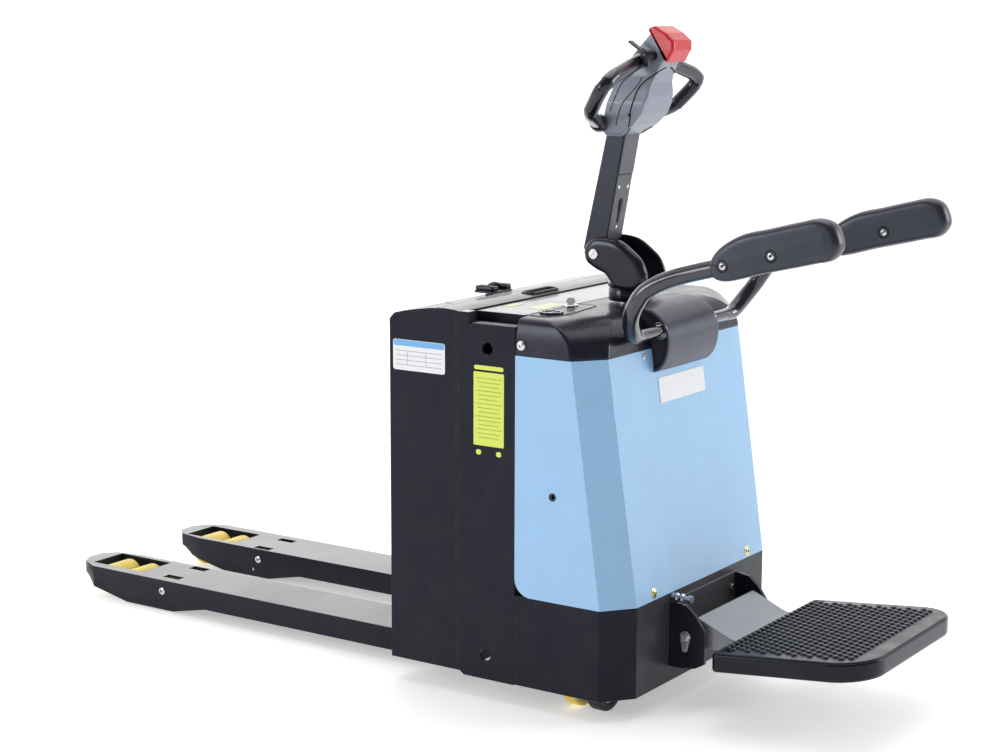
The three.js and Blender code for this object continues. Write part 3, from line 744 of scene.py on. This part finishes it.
shroud_steps = [(117, 9), (119.6, 7), (120.8, 5), (121, 3.6), (120.4, 2), (119, 0.9), (116.5, 0.2),
                (112, 0), (100, 0)]
shroud = piece("arm_shroud_shell", loft(
    [shroud_ring(-y, i) for y, i in shroud_steps] + [shroud_ring(0, -0.4)]
    + [shroud_ring(y, i) for y, i in reversed(shroud_steps)]),
    shroud_plastic, "chassis")
evened(shroud)
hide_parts("arm_shroud")
# Near-black caps just inside the shroud's open ends: painted shade of its hollow inside.
for side, s in SIDES:
    piece(f"shroud_end_painted_shade_{side}", loft([shroud_ring(s * 118.2, 8.6), shroud_ring(s * 116, 8.6)]),
          dark_joint_and_painted_shade, "chassis")

CHEEK = [(327, 1018), (329, 1030), (338, 1041), (350, 1050), (365, 1054), (400, 1053), (427, 1046),
         (459, 1025), (481, 1005), (495, 971), (493, 950), (478, 936), (415, 936), (402, 948),
         (385, 968), (361, 978), (336, 993), (329, 1005)]
cheek_line = smooth_outline(CHEEK, 4)
CHEEK_SPINE = ((361, 1016), (400, 1016), (432, 1002), (448, 976), (448, 950))


def towards(point, spine, share):
    """Moves a point of an outline part of the way to the nearest point of its spine."""
    p, nearest = Vector(point), None
    for a, b in zip(spine, spine[1:]):
        a, b = Vector(a), Vector(b)
        t = max(0, min(1, (p - a).dot(b - a) / (b - a).length_squared))
        spot = a.lerp(b, t)
        if nearest is None or (spot - p).length < (nearest - p).length:
            nearest = spot
    return tuple(p.lerp(nearest, share))


def cheek_rings(s):
    steps = [(38.3, 3, 0), (38.3, 0, 0), (43, 0, 0), (47, 0.6, 0), (50.4, 2, 0), (53, 4.2, 0),
             (54.9, 6.6, 0), (56.2, 9, 0), (57.0, 9, 0.12), (57.5, 9, 0.28), (57.7, 9, 0.5)]
    return [[(x, s * y, z) for x, z in (towards(p, CHEEK_SPINE, share)
                                        for p in shrunk(cheek_line, inset))]
            for y, inset, share in steps]


for side, s in SIDES:
    cheek = piece(f"steering_cheek_{side}", loft(cheek_rings(s)), gloss_plastic,
                  "steered_unit")
    evened(cheek)
    if side == "left":
        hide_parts("steering_head")
collar_profile = [(33, 906), (48.8, 906), (50, 907.2), (50, 934), (48.6, 935.2), (48.6, 937.6),
                  (50.6, 938.8), (52, 940.4), (52, 947), (50.4, 949.6), (40, 950.4), (0, 950.4)]
turned("steering_collar", collar_profile, (425, 0, 0), (0, 0, 1), gloss_plastic, "steered_unit",
    64)


# ---- side arms and their pads ----
ARM_PATH = ((574, 196, 859), (574, 214, 859), (575, 232, 862), (579, 251, 874), (590, 277, 900),
            (603, 293, 924), (617, 299, 947), (633, 300, 969), (654, 298, 985), (690, 294, 1003),
            (742, 290, 1020), (905, 288, 1062))
ARM_RADII = (14.4, 15.5, 17.5, 19)  # at the first points of the path; the last one holds on
ARM_STEPS = 8
PAD = [(796, 1049), (797, 1032), (804, 1018), (826, 1010), (930, 1035), (1040, 1062), (1079, 1073),
       (1096, 1095), (1096, 1116), (1079, 1147), (1049, 1157), (1000, 1147), (935, 1130),
       (873, 1114), (826, 1088), (806, 1068)]
PAD_SIDES = (263, 313)
PAD_BOLTS = ((833, 1045), (946, 1074))
pad_line = smooth_outline(PAD, 6)
PAD_SPINE = ((826, 1046), (1062, 1112))


def arm_radius(place):
    """The tube's radius at a place along its path, counted in path points."""
    k, share = int(place), place % 1
    last = len(ARM_RADII) - 1
    return ARM_RADII[min(k, last)] * (1 - share) + ARM_RADII[min(k + 1, last)] * share


def pad_ring(y, inset):
    share = max(0, inset - 12) / 26
    return [(x, y, z) for x, z in (towards(p, PAD_SPINE, share)
                                   for p in shrunk(pad_line, min(inset, 12)))]


def pad_rings(s):
    middle, half = sum(PAD_SIDES) / 2, (PAD_SIDES[1] - PAD_SIDES[0]) / 2
    steps = []
    for k in range(-13, 14):
        turn = math.radians(90 * k / 13)
        lift = math.copysign(abs(math.sin(turn)) ** 0.75, k)
        steps.append((middle + half * lift, 22 * (1 - math.cos(turn) ** 0.62)))
    crown = [(1.0, 30), (1.6, 36)]
    low = [(PAD_SIDES[0] + 0.2 - d * 0.15, i) for d, i in reversed(crown)]
    high = [(PAD_SIDES[1] - 0.2 + d * 0.8, i) for d, i in crown]
    return [pad_ring(s * y, i) for y, i in [*low, *steps, *high]]


for side, s in SIDES:
    line = curve_points(mirrored(ARM_PATH, s), ARM_STEPS)
    swell = [arm_radius(i / ARM_STEPS) for i in range(len(line))]
    arm = piece(f"side_arm_tube_{side}", tube(line, swell, 32), tube_paint, f"side_arm_{side}")
    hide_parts(f"side_arm_{side}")
    turned(f"side_arm_stub_{side}", [(0, 0), (13, 0), (14, 1.5), (14, 100), (14, 190)],
        (574, s * 8, 859), (0, s, 0), tube_paint, f"side_arm_{side}", 40)
    pad = piece(f"arm_cushion_{side}", loft(pad_rings(s)), pad_foam, f"side_arm_{side}")
    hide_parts(f"arm_pad_{side}")


# ---- tiller: head, loops, buttons ----
head = moulded("head_shell", "control_head", head_plastic, "tiller", 1.7, 16)
CAP = [(488.4, 1532.8), (490, 1539), (505, 1544), (535, 1528), (556, 1510), (556, 1490), (538, 1462),
       (535.6, 1462.1)]
cap_line = filleted(CAP, [1.5, 4, 9, 16, 9, 16, 2, 1], 6)
cap_steps = ((45, 7), (44.8, 4.4), (44, 2.4), (42.4, 1), (40, 0.2), (36, 0))
button = piece("emergency_cap", loft(
    [[(x, -y, z) for x, z in shrunk(cap_line, i)] for y, i in cap_steps]
    + [[(x, y, z) for x, z in shrunk(cap_line, i)] for y, i in reversed(cap_steps)]),
    red_plastic, "emergency_button")
evened(button)
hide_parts("emergency_button")
moulded("throttle_wings", "throttle", grip_plastic, "throttle", 1.0, 3)


def surface_line(name, target, points, radius, look, body):
    """A thin dark joint that follows a curve over another piece's surface."""
    skin = BVHTree.FromPolygons([v.co for v in target.data.vertices],
                                [p.vertices[:] for p in target.data.polygons])
    line = []
    for point in curve_points(points, 6):
        x, y, z = (1000 * v for v in skin.find_nearest(at(point))[0])
        line.append((x - DRAWING_X, y, z))
    return piece(name, tube(line, radius, 8), look, body)


# Points measured on the photo by a separate ray-casting program; report.md lists them.
SHELL_JOINT = ((518, 12, 1450), (511, 41, 1437), (487, 48, 1420), (471, 56, 1399), (464, 64, 1372),
               (457, 65, 1350), (455, 63, 1327), (437, 40, 1302), (429, 38, 1296))
PANEL_CREASES = (((453, 43, 1438), (428, 49, 1417), (417, 59, 1390), (410, 65, 1367), (404, 64, 1350)),
                 ((476, 45, 1427), (466, 53, 1406), (447, 61, 1383), (434, 65, 1364), (425, 64, 1341),
                  (418, 60, 1318)))
for side, s in SIDES:
    surface_line(f"shell_joint_{side}", head, mirrored(SHELL_JOINT, s), 1.7,
                 dark_joint_and_painted_shade, "tiller")
    for k, crease in enumerate(PANEL_CREASES):
        surface_line(f"panel_crease_{k}_{side}", head, mirrored(crease, s), 1.2,
                     grip_plastic, "tiller")
    turned(f"shell_screw_{side}", [(0, 1.6), (1.6, 1.6), (3.2, 2), (4, 1.2), (4, -1.5)],
        (455, s * 64.2, 1342), (0, s, 0), dark_joint_and_painted_shade, "tiller", 24)
for node in ("lift_rocker", "horn_button"):
    frame["nodes"][node].modifiers["edges"].width = 0.0016

LOOP = ((468, 24, 1474), (475, 42, 1469), (477, 90, 1456), (479, 140, 1443), (481, 187, 1430),
        (479, 211, 1416), (468, 214, 1402), (444, 202, 1372), (430, 192, 1356), (418, 172, 1346),
        (376, 66, 1319), (370, 48, 1315))


def loop_radius(share):
    """The bare handle is 16; the grip sleeves stand a little proud, with a ring at each end."""
    for low, high in ((0.10, 0.44), (0.52, 0.72)):
        if low <= share <= high:
            edge = min(share - low, high - share)
            return 16.0 + (1.1 if edge < 0.006 else 0.7)
    return 15.6


for side, s in SIDES:
    line = curve_points(mirrored(LOOP, s), 14)
    loop = piece(f"handle_loop_{side}", tube(
        line, [loop_radius(i / (len(line) - 1)) for i in range(len(line))], 28),
        handle_plastic, "tiller")
    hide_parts(f"handle_{side}")
    end, start = Vector((376, s * 66, 1319)), Vector((418, s * 172, 1346))
    piece(f"handle_collar_{side}", tube(
        [end.lerp(start, t) for t in (-0.06, -0.03, 0.0, 0.10, 0.20, 0.23, 0.25)],
        [17.5, 19.5, 20, 20, 20, 19.2, 17], 28), grip_plastic, "tiller")
    ribs = [(9.4, 59.6), (11.6, 60.6)]
    for k in range(6):
        y = 61.6 + 2.8 * k
        ribs += [(12.4, y), (12.4, y + 1.3), (11.3, y + 1.8), (11.3, y + 2.3)]
    ribs += [(12.2, 79), (11.5, 80.4), (0, 80.8)]
    turned(f"throttle_knob_{side}", [(0, 59.2), *ribs], (502, 0, 1477), (0, s, 0), mat_rubber,
        "throttle", 40)


# ---- platform ----
STEP = {"inner": 797, "outer": 1173, "half": 262, "slope": 0.1, "corner": 95}


def tread_z(x):
    return 175 + STEP["slope"] * (x - STEP["inner"])


step_plan = filleted(rectangle(STEP["inner"], -STEP["half"], STEP["outer"], STEP["half"]),
                     [14, STEP["corner"], STEP["corner"], 14], 14)


def step_ring(drop, inset):
    return [(x, y, tread_z(x) - drop) for x, y in shrunk(step_plan, inset)]


rim = piece("platform_deck", loft([step_ring(d, i) for d, i in (
    (46, 22), (46, 7), (45.2, 4), (43, 1.6), (40, 0.4), (36, 0), (10, 0), (6.6, 0.5), (4.6, 1.8),
    (3.8, 4), (4.3, 7), (4.8, 20))]), deck_paint, "platform")
evened(rim)
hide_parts("platform_plate")
NECK_HALF = 140
# Black paint with a painted grey reflection.
neck = piece("platform_neck", prism([(691, 205), (697, 209), (781, tread_z(797) - 2.5),
                                     (801, tread_z(797) - 6), (801, 139), (699, 139), (660, 152),
                                     (657, 176)], "y", -NECK_HALF, NECK_HALF),
             flap_grey_painted_reflection, "platform")
softened(neck, 3.0, 4)
turned("platform_hub", [(12.6, -147), (22.5, -147), (24, -145), (24, 145), (22.5, 147),
    (12.6, 147)], (679, 0, 166), (0, 1, 0), black_paint, "platform", 40)


def mat_shape():
    """A rubber mat: a smooth border and rows of round studs on it."""
    shapes = [loft([step_ring(d, i) for d, i in ((4.6, 5), (1.6, 5.2), (1.0, 6.2), (0.9, 9),
                                                 (0.9, 40))])]
    pitch, radius = 21.5, 8.0
    rows = int((STEP["outer"] - STEP["inner"] - 44) / (pitch * 0.87))
    for row in range(rows):
        x = STEP["inner"] + 18 + row * pitch * 0.87
        across = int((2 * STEP["half"] - 50) / pitch) - row % 2
        for k in range(across + 1):
            y = (k - across / 2) * pitch
            from_edge = min(STEP["outer"] - x, STEP["half"] - abs(y))
            cx, cy = STEP["outer"] - STEP["corner"], STEP["half"] - STEP["corner"]
            if x > cx and abs(y) > cy:
                from_edge = STEP["corner"] - math.hypot(x - cx, abs(y) - cy)
            if from_edge < 27 + (0 if abs(y) < 200 else 2):
                continue
            stud = lathe([(radius, -0.4), (radius - 0.5, 1.8), (radius - 1.5, 3.3),
                          (radius - 3.2, 4.2), (radius - 5.6, 4.5), (0, 4.6)], 14)
            shapes.append(placed(stud, (x, y, tread_z(x) - 0.9), (-STEP["slope"], 0, 1)))
    return joined(*shapes)


mat = piece("platform_studded_mat", mat_shape(), mat_rubber, "platform")
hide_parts("platform_mat")


# ---- fasteners ----
def hex_head(radius, height, washer=0.0):
    """A hexagon head with a chamfered crown on its washer, its seat at z = 0."""
    low = 1.2 if washer else 0.0
    corner = radius / math.cos(math.pi / 6)
    outline = [(corner * math.cos(math.pi * k / 3), corner * math.sin(math.pi * k / 3))
               for k in range(6)]
    rings = [[(u * share, v * share, z) for u, v in outline]
             for share, z in ((1, low), (1, low + height * 0.78), (0.90, low + height),
                              (0.45, low + height * 0.98))]
    shapes = [loft(rings)]
    if washer:
        shapes.append(lathe([(0, -0.3), (washer, -0.3), (washer, 0.9), (washer - 0.5, 1.2),
                             (0, 1.2)], 32))
    return joined(*shapes)


def button_head(radius, height, socket=0.42):
    """A domed head with a hexagon socket."""
    dome = [(radius, -0.4), (radius, height * 0.25)]
    dome += [(radius * math.cos(math.radians(a)), height * (0.25 + 0.75 * math.sin(
        math.radians(a)))) for a in (20, 40, 55)]
    inner = radius * socket
    dome += [(inner + 0.3, height), (inner, height - 0.3), (inner, height * 0.35), (0, height * 0.3)]
    return lathe(dome, 32)


def slotted_head(radius, height, slot):
    """A flat round head with a screwdriver slot across it."""
    start = math.asin(slot / 2 / radius)
    arc = [start + (math.pi - 2 * start) * k / 16 for k in range(17)]
    halves = [prism([(radius * math.cos(a), s * radius * math.sin(a)) for a in arc], "z",
                    height * 0.5, height) for s in (-1, 1)]
    return joined(lathe([(0, -1), (radius, -1), (radius, height * 0.52), (0, height * 0.52)], 40),
                  *halves)


def fastener(name, shape, place, direction, look, body, turn=0.3):
    return softened(piece(name, placed(shape, place, direction, turn), look, body), 0.25, 2)


HOOD = {"low": (635, 261.3), "high": (553, 817)}  # x and z of its rear face's two ends
HOOD_RUN, HOOD_RISE = 82, 555.7


def hood_face_x(z):
    """Where the hood's rear face lies at a height."""
    (x0, z0), (x1, z1) = HOOD["low"], HOOD["high"]
    return x0 + (x1 - x0) * (z - z0) / (z1 - z0)


HOOD_LEAN = math.atan2(HOOD_RUN, HOOD_RISE)
REAR_TILT = (math.cos(HOOD_LEAN), 0, math.sin(HOOD_LEAN))
for side, s in SIDES:
    fastener(f"hood_screw_{side}", button_head(8.5, 4, 0.45), (hood_face_x(277) + 0.4, s * 228, 277),
             REAR_TILT, yellow_zinc, "chassis")
    turned(f"hood_screw_washer_{side}",
        [(0, -0.2), (12.5, -0.2), (12.5, 0.5), (11.8, 0.8), (0, 0.8)],
        (hood_face_x(277), s * 228, 277), REAR_TILT, yellow_zinc, "chassis", 36)
    fastener(f"cover_bolt_{side}", button_head(11.5, 5, 0.34), (369, s * 379.6, 841), (0, s, 0),
             zinc, "chassis")
    turned(f"hood_grommet_{side}", [(5.2, -2), (5.2, 1.2), (6.2, 1.9), (8.6, 1.6), (9.4, 0.4),
        (9.4, -0.4)], (454, s * 380, 505), (0, s, 0), mat_rubber, "chassis", 36)
    fastener(f"fork_pin_head_{side}", button_head(10, 3.6, 0.4), (-839, s * 275.2, 55), (0, s, 0),
             zinc, "fork_carriage")
    fastener(f"fork_pin_end_{side}", button_head(10, 3.2, 0.4), (-839, s * 114.8, 55), (0, -s, 0),
             zinc, "fork_carriage")
    fastener(f"fork_small_pin_{side}", button_head(5.2, 1.4, 0.5), (-860, s * 275, 23), (0, s, 0),
             dark_joint_and_painted_shade, "fork_carriage")
    softened(piece(f"fork_toe_wall_{side}", prism(
        rectangle(s * 133, 46, s * 252, 79.6), "x", -1124.5, -1121.5),
        black_paint, "fork_carriage"), 0.6)
    for k, (x, z) in enumerate(PAD_BOLTS):
        for tag, way in (("outer", 1), ("inner", -1)):
            y = PAD_SIDES[1] + 0.4 if way > 0 else PAD_SIDES[0] - 0.4
            # Near-black cups round the pad bolts: painted shade in their recesses.
            turned(f"pad_recess_{tag}_{k}_{side}", [(15, -2.5), (14.2, 0.3), (12.6, 1.3),
                (11.2, 0.6), (10.4, -1.2), (10.2, -2.2), (0, -2.4)], (x, s * y, z),
                (0, s * way, 0), dark_joint_and_painted_shade, f"side_arm_{side}", 40)
            fastener(f"pad_bolt_{tag}_{k}_{side}", button_head(8.2, 3.6, 0.4),
                     (x, s * (y - way * 1.6), z), (0, s * way, 0), zinc, f"side_arm_{side}")
    fastener(f"pivot_bolt_{side}", slotted_head(11.5, 2.6, 2.4), (359, s * 58.4, 1015), (0, s, 0),
             zinc, "steered_unit", 0.9)
    fastener(f"platform_pin_bolt_{side}", hex_head(9, 4, 13.5), (679, s * 163.3, 166), (0, s, 0),
             zinc, "chassis")
    fastener(f"ear_bolt_{side}", hex_head(5.5, 4, 8), (642.4, s * 133, 211), (1, 0, 0), zinc, "chassis")
fastener("hood_upper_screw", button_head(7, 3.4, 0.45), (hood_face_x(805) + 0.4, -155, 803), REAR_TILT,
         zinc, "chassis")
for k, x in enumerate((646, 660)):
    piece(f"stop_bolt_nut_{k}", placed(hex_head(9.5, 7), (x, -150, 252), (1, 0, 0), 0.4), zinc,
          "chassis")


# ---- labels: plain films without any lettering ----
def label(name, center, half_u, half_v, axis, place, look, body, corner=3.0):
    (u, v), t = center, 0.45
    outline = filleted(rectangle(u - half_u, v - half_v, u + half_u, v + half_v), corner, 4)
    return softened(piece(name, prism(outline, axis, place, place + t), look, body),
                    0.12, 1)


NEAR_BOX, NEAR_PLATE = -377.5, -380.5
label("rating_plate", (84, 789), 74, 36, "y", NEAR_BOX, label_white, "fork_carriage", 6)
label("rating_plate_band", (84, 817), 72.5, 7, "y", NEAR_BOX - 0.15, label_blue, "fork_carriage", 5)
for k in range(4):
    label(f"rating_plate_rule_{k}", (84, 766 + 11 * k), 66, 0.5, "y", NEAR_BOX - 0.12, label_line,
          "fork_carriage", 0.2)
for k, x in enumerate((52, 104)):
    label(f"rating_plate_column_{k}", (x, 782.5), 0.5, 17, "y", NEAR_BOX - 0.12, label_line,
          "fork_carriage", 0.2)
label("notice_plate", (281.5, 686), 41.5, 85, "y", NEAR_PLATE, label_yellow, "chassis", 2)
for k in range(2):
    label(f"notice_tab_{k}", (254 + 55 * k, 585), 7, 6, "y", NEAR_PLATE, label_yellow, "chassis", 5)
for k in range(15):
    label(f"notice_rule_{k}", (281.5, 757 - 9.8 * k), 35 - 4 * (k % 3), 0.9, "y", NEAR_PLATE - 0.12,
          label_rule, "chassis", 0.4)
label("notice_header", (281.5, 781), 40, 5, "y", NEAR_PLATE, label_yellow, "chassis", 4)
# A near-black band down the box's edge: painted shade in the gap between the box and the side plate.
label("box_gap_painted_shade", (192.5, 477), 9, 418, "y", NEAR_BOX + 0.1, dark_joint_and_painted_shade, "fork_carriage", 1)
label("top_notice_0", (228, -197), 12, 27, "z", 900.1, label_faint, "chassis", 2)
label("top_notice_1", (303, -171), 22, 52, "z", 900.1, label_faint, "chassis", 2)

BADGE = {"y": 2, "z": 718, "half_y": 107, "half_z": 29}
badge_line = filleted([(BADGE["y"] + u * BADGE["half_y"], BADGE["z"] + v * BADGE["half_z"])
                       for u, v in ((-1, -1), (1, -1), (1, 1), (-1, 1))], 4)
badge = piece("rear_badge", loft([[(hood_face_x(v) + out, u, v) for u, v in badge_line]
                                  for out in (0.2, 1.6)]), label_white, "chassis")
softened(badge, 0.15, 1)


# ---- battery lid and top strip ----
def bar_loop(outline, z, radius, name, look, body):
    return piece(name, tube([(u, v, z) for u, v in outline], radius, 10, closed=True), look, body)


grip_edge = filleted(rectangle(156, -62, 189, 62), 15.5, 12)
bar_loop(grip_edge, 907, 4.2, "lid_hole_rim", deck_paint, "battery_lid")
softened(piece("lid_crease", prism(rectangle(132.2, -376, 133.8, 376), "z", 905.3, 906.55),
               dark_joint_and_painted_shade, "battery_lid"), 0.2, 1)
# A near-black film for the lid's slot: painted shade in place of the opening.
label("lid_slot", (112, -284), 19, 2.4, "z", 904.4, dark_joint_and_painted_shade, "battery_lid", 2)
for k, y in enumerate((-112, -98)):
    turned(f"lid_plug_{k}", [(0, -3), (6.5, -3), (6.5, 1.2), (5.6, 2), (3.4, 2), (3, 1), (0, 0.9)],
        (96, y, 904.2), (0, 0, 1), mat_rubber, "battery_lid", 28)

# ---- battery connector ----
base_line = filleted(rectangle(32, -86, 98, 0), 14, 8)
plate_rings = [(902.8, 0), (905.6, 0), (907, 0.6), (907.8, 2), (907.9, 12)]
connector = piece("connector_base", loft(stacked(base_line, plate_rings)), grip_plastic,
                  "battery_lid")
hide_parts("battery_connector")
for k, y in enumerate((-78, -22)):
    block = filleted(rectangle(38, y - 6, 92, y + 20), 6, 6)
    piece(f"connector_lobe_{k}", loft(stacked(block, (
        (906, 0), (915, 0), (918, 0.8), (919.6, 2.6), (920, 5), (918.6, 7), (918.4, 9)))),
        grip_plastic, "battery_lid")
piece("connector_bar", tube(curve_points([(65, -72, 912), (64, -56, 919), (64, -42, 921),
                                          (64, -28, 919), (65, -12, 912)], 6), 5, 16),
      gloss_plastic, "battery_lid")

# ---- gauge and key ----
GAUGE, KEY = (375, -265), (350, -143)  # x and y of their middles
gauge = turned("gauge_case", [(0, -8), (23.5, -8), (23.5, 1), (27.8, 1), (28, 1.8), (28, 4.6),
    (27.4, 5.4), (25.6, 5.4), (24.4, 4.2), (24, 2.4), (0, 2.4)], (*GAUGE, 900), (0, 0, 1),
    gloss_plastic, "chassis", 56)
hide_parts("charge_gauge")
turned("gauge_ring", [(24.6, 4.0), (24.2, 5.2), (22.8, 5.4), (22.2, 4.4), (22.2, 3.2), (24.4, 3.2),
    (24.6, 4.0)], (*GAUGE, 900), (0, 0, 1), chrome, "chassis", 56)
piece("gauge_needle", prism([(372, -279), (376, -279), (378, -256), (375, -250), (373, -256)], "z",
                            902.6, 903.4), label_white, "chassis")
for k in range(9):
    turn = math.radians(200 - 27.5 * k)
    u, v = GAUGE[0] + 18 * math.cos(turn), GAUGE[1] + 18 * math.sin(turn)
    piece(f"gauge_tick_{k}", placed(prism([(-2.6, -0.6), (2.6, -0.6), (2.6, 0.6), (-2.6, 0.6)], "z", 0, 0.5),
          (u, v, 902.5), (0, 0, 1), turn), label_white, "chassis")
turned("key_bezel", [(6, 0), (17, 0), (17.6, 1), (17.6, 3.4), (16.6, 4.6), (13, 5.4), (7, 5.4),
    (6, 4.6), (6, 0)], (*KEY, 900.2), (0, 0, 1), chrome, "chassis", 48)
bow = filleted([(-9, 21), (9, 21), (11, 28), (7, 36), (-7, 36), (-11, 28)], 4, 5)
key_bow = piece("key_bow", placed(joined(
    prism([(y, z) for y, z in bow], "x", -1.4, 1.4),
    prism(rectangle(-4, 16.5, 4, 24), "x", -1.2, 1.2)), (*KEY, 885), (0, 0, 1), -0.9),
    key_painted_reflection, "key")
softened(key_bow, 0.6, 2)
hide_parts("key")

# ---- tiller cover and its screws ----
LEAN = math.radians(11.3)


def on_tiller(t, n):
    return (359 + t * math.sin(LEAN) + n * math.cos(LEAN), 1015 + t * math.cos(LEAN) - n * math.sin(LEAN))


def rear_face(t):
    """How far the tiller's rear face stands from its middle line."""
    return 13 - 5 * t / 322


def tiller_panel(name, t0, t1, low, high, look):
    rings, half = [], 33
    for lift, inset in ((low, 0), (high - 1.2, 0), (high - 0.4, 0.4), (high, 1.4), (high, 5)):
        outline = filleted(rectangle(t0 + inset, inset - half, t1 - inset, half - inset), 4, 4)
        places = [(on_tiller(t, rear_face(t) + lift), y) for t, y in outline]
        rings.append([(x, y, z) for (x, z), y in places])
    return piece(name, loft(rings), look, "tiller")


tiller_panel("tiller_cover_upper", 193, 300, 0.4, 3.6, panel_plastic)
tiller_panel("tiller_cover_lower", 34, 191, 0.4, 2.4, panel_plastic)
slot_line = filleted([(74, -4), (134, -11), (134, 11), (74, 4)], [3, 9, 9, 3], 6)
# A near-black film over the slot in the tiller cover: painted shade in place of the opening.
piece("tiller_slot", loft([[(on_tiller(t, rear_face(t) + out)[0], y, on_tiller(t, rear_face(t) + out)[1])
                            for t, y in slot_line] for out in (1.9, 2.7)]),
      dark_joint_and_painted_shade, "tiller")
normal = (math.cos(LEAN), 0, -math.sin(LEAN))
for k, (t, y) in enumerate(((161, -20), (161, 20), (64, -1))):
    x, z = on_tiller(t, rear_face(t) + 2.2)
    fastener(f"tiller_screw_{k}", button_head(4.6, 1.8, 0.4), (x, y, z), normal, zinc, "tiller")


# ---- floor and light ----
def make_stage():
    size = 60
    mesh = bpy.data.meshes.new("floor")
    mesh.from_pydata([(-size, -size, 0), (size, -size, 0), (size, size, 0), (-size, size, 0)], [],
                     [(0, 1, 2, 3)])
    floor = linked("floor", mesh)
    look = Look("pale_floor", (0.90, 0.905, 0.915), 0.55, specular=0.2)
    look.mottled(1.5, (0.87, 0.875, 0.885), 0.4).varied(3, 0.03)
    look.shader.inputs["Emission Color"].default_value = (1, 1, 1, 1)
    look.set("Emission Strength", 0.42)
    mesh.materials.append(look.done())
    world = bpy.data.worlds.new("studio")
    scene.world = world
    world.use_nodes = True
    tree = world.node_tree
    spot = tree.nodes.new("ShaderNodeTexCoord")
    facing = tree.nodes.new("ShaderNodeVectorMath")
    facing.operation = "DOT_PRODUCT"
    facing.inputs[1].default_value = STUDIO["dark_side"]
    fade = tree.nodes.new("ShaderNodeMapRange")
    for key, value in (("From Min", -1.0), ("From Max", 0.45), ("To Min", STUDIO["bright"]),
                       ("To Max", STUDIO["dim"])):
        fade.inputs[key].default_value = value
    tree.links.new(spot.outputs["Generated"], facing.inputs[0])
    tree.links.new(facing.outputs["Value"], fade.inputs["Value"])
    tree.links.new(fade.outputs["Result"], tree.nodes["Background"].inputs["Strength"])
    tree.nodes["Background"].inputs["Color"].default_value = (1, 1, 1, 1)


def soft_box(name, place, target, size, power):
    data = bpy.data.lights.new(name, "AREA")
    data.shape, data.size, data.size_y, data.energy = "RECTANGLE", size[0], size[1], power
    light = linked(name, data)
    light.location = place
    light.rotation_mode = "QUATERNION"
    light.rotation_quaternion = (Vector(target) - Vector(place)).to_track_quat("-Z", "Y")


STUDIO = {"dark_side": (0.66, -0.75, 0.0), "bright": 1.65, "dim": 0.20}
make_stage()
soft_box("key_left", (-3.0, -4.8, 2.4), (0, 0, 0.6), (2.2, 2.6), 105)
soft_box("key_right", (4.6, 3.4, 2.2), (0.4, 0, 0.5), (2.4, 2.6), 120)
soft_box("overhead", (0.2, 0.6, 4.6), (0, 0, 0), (3.4, 3.0), 55)
scene.view_settings.view_transform = "Standard"
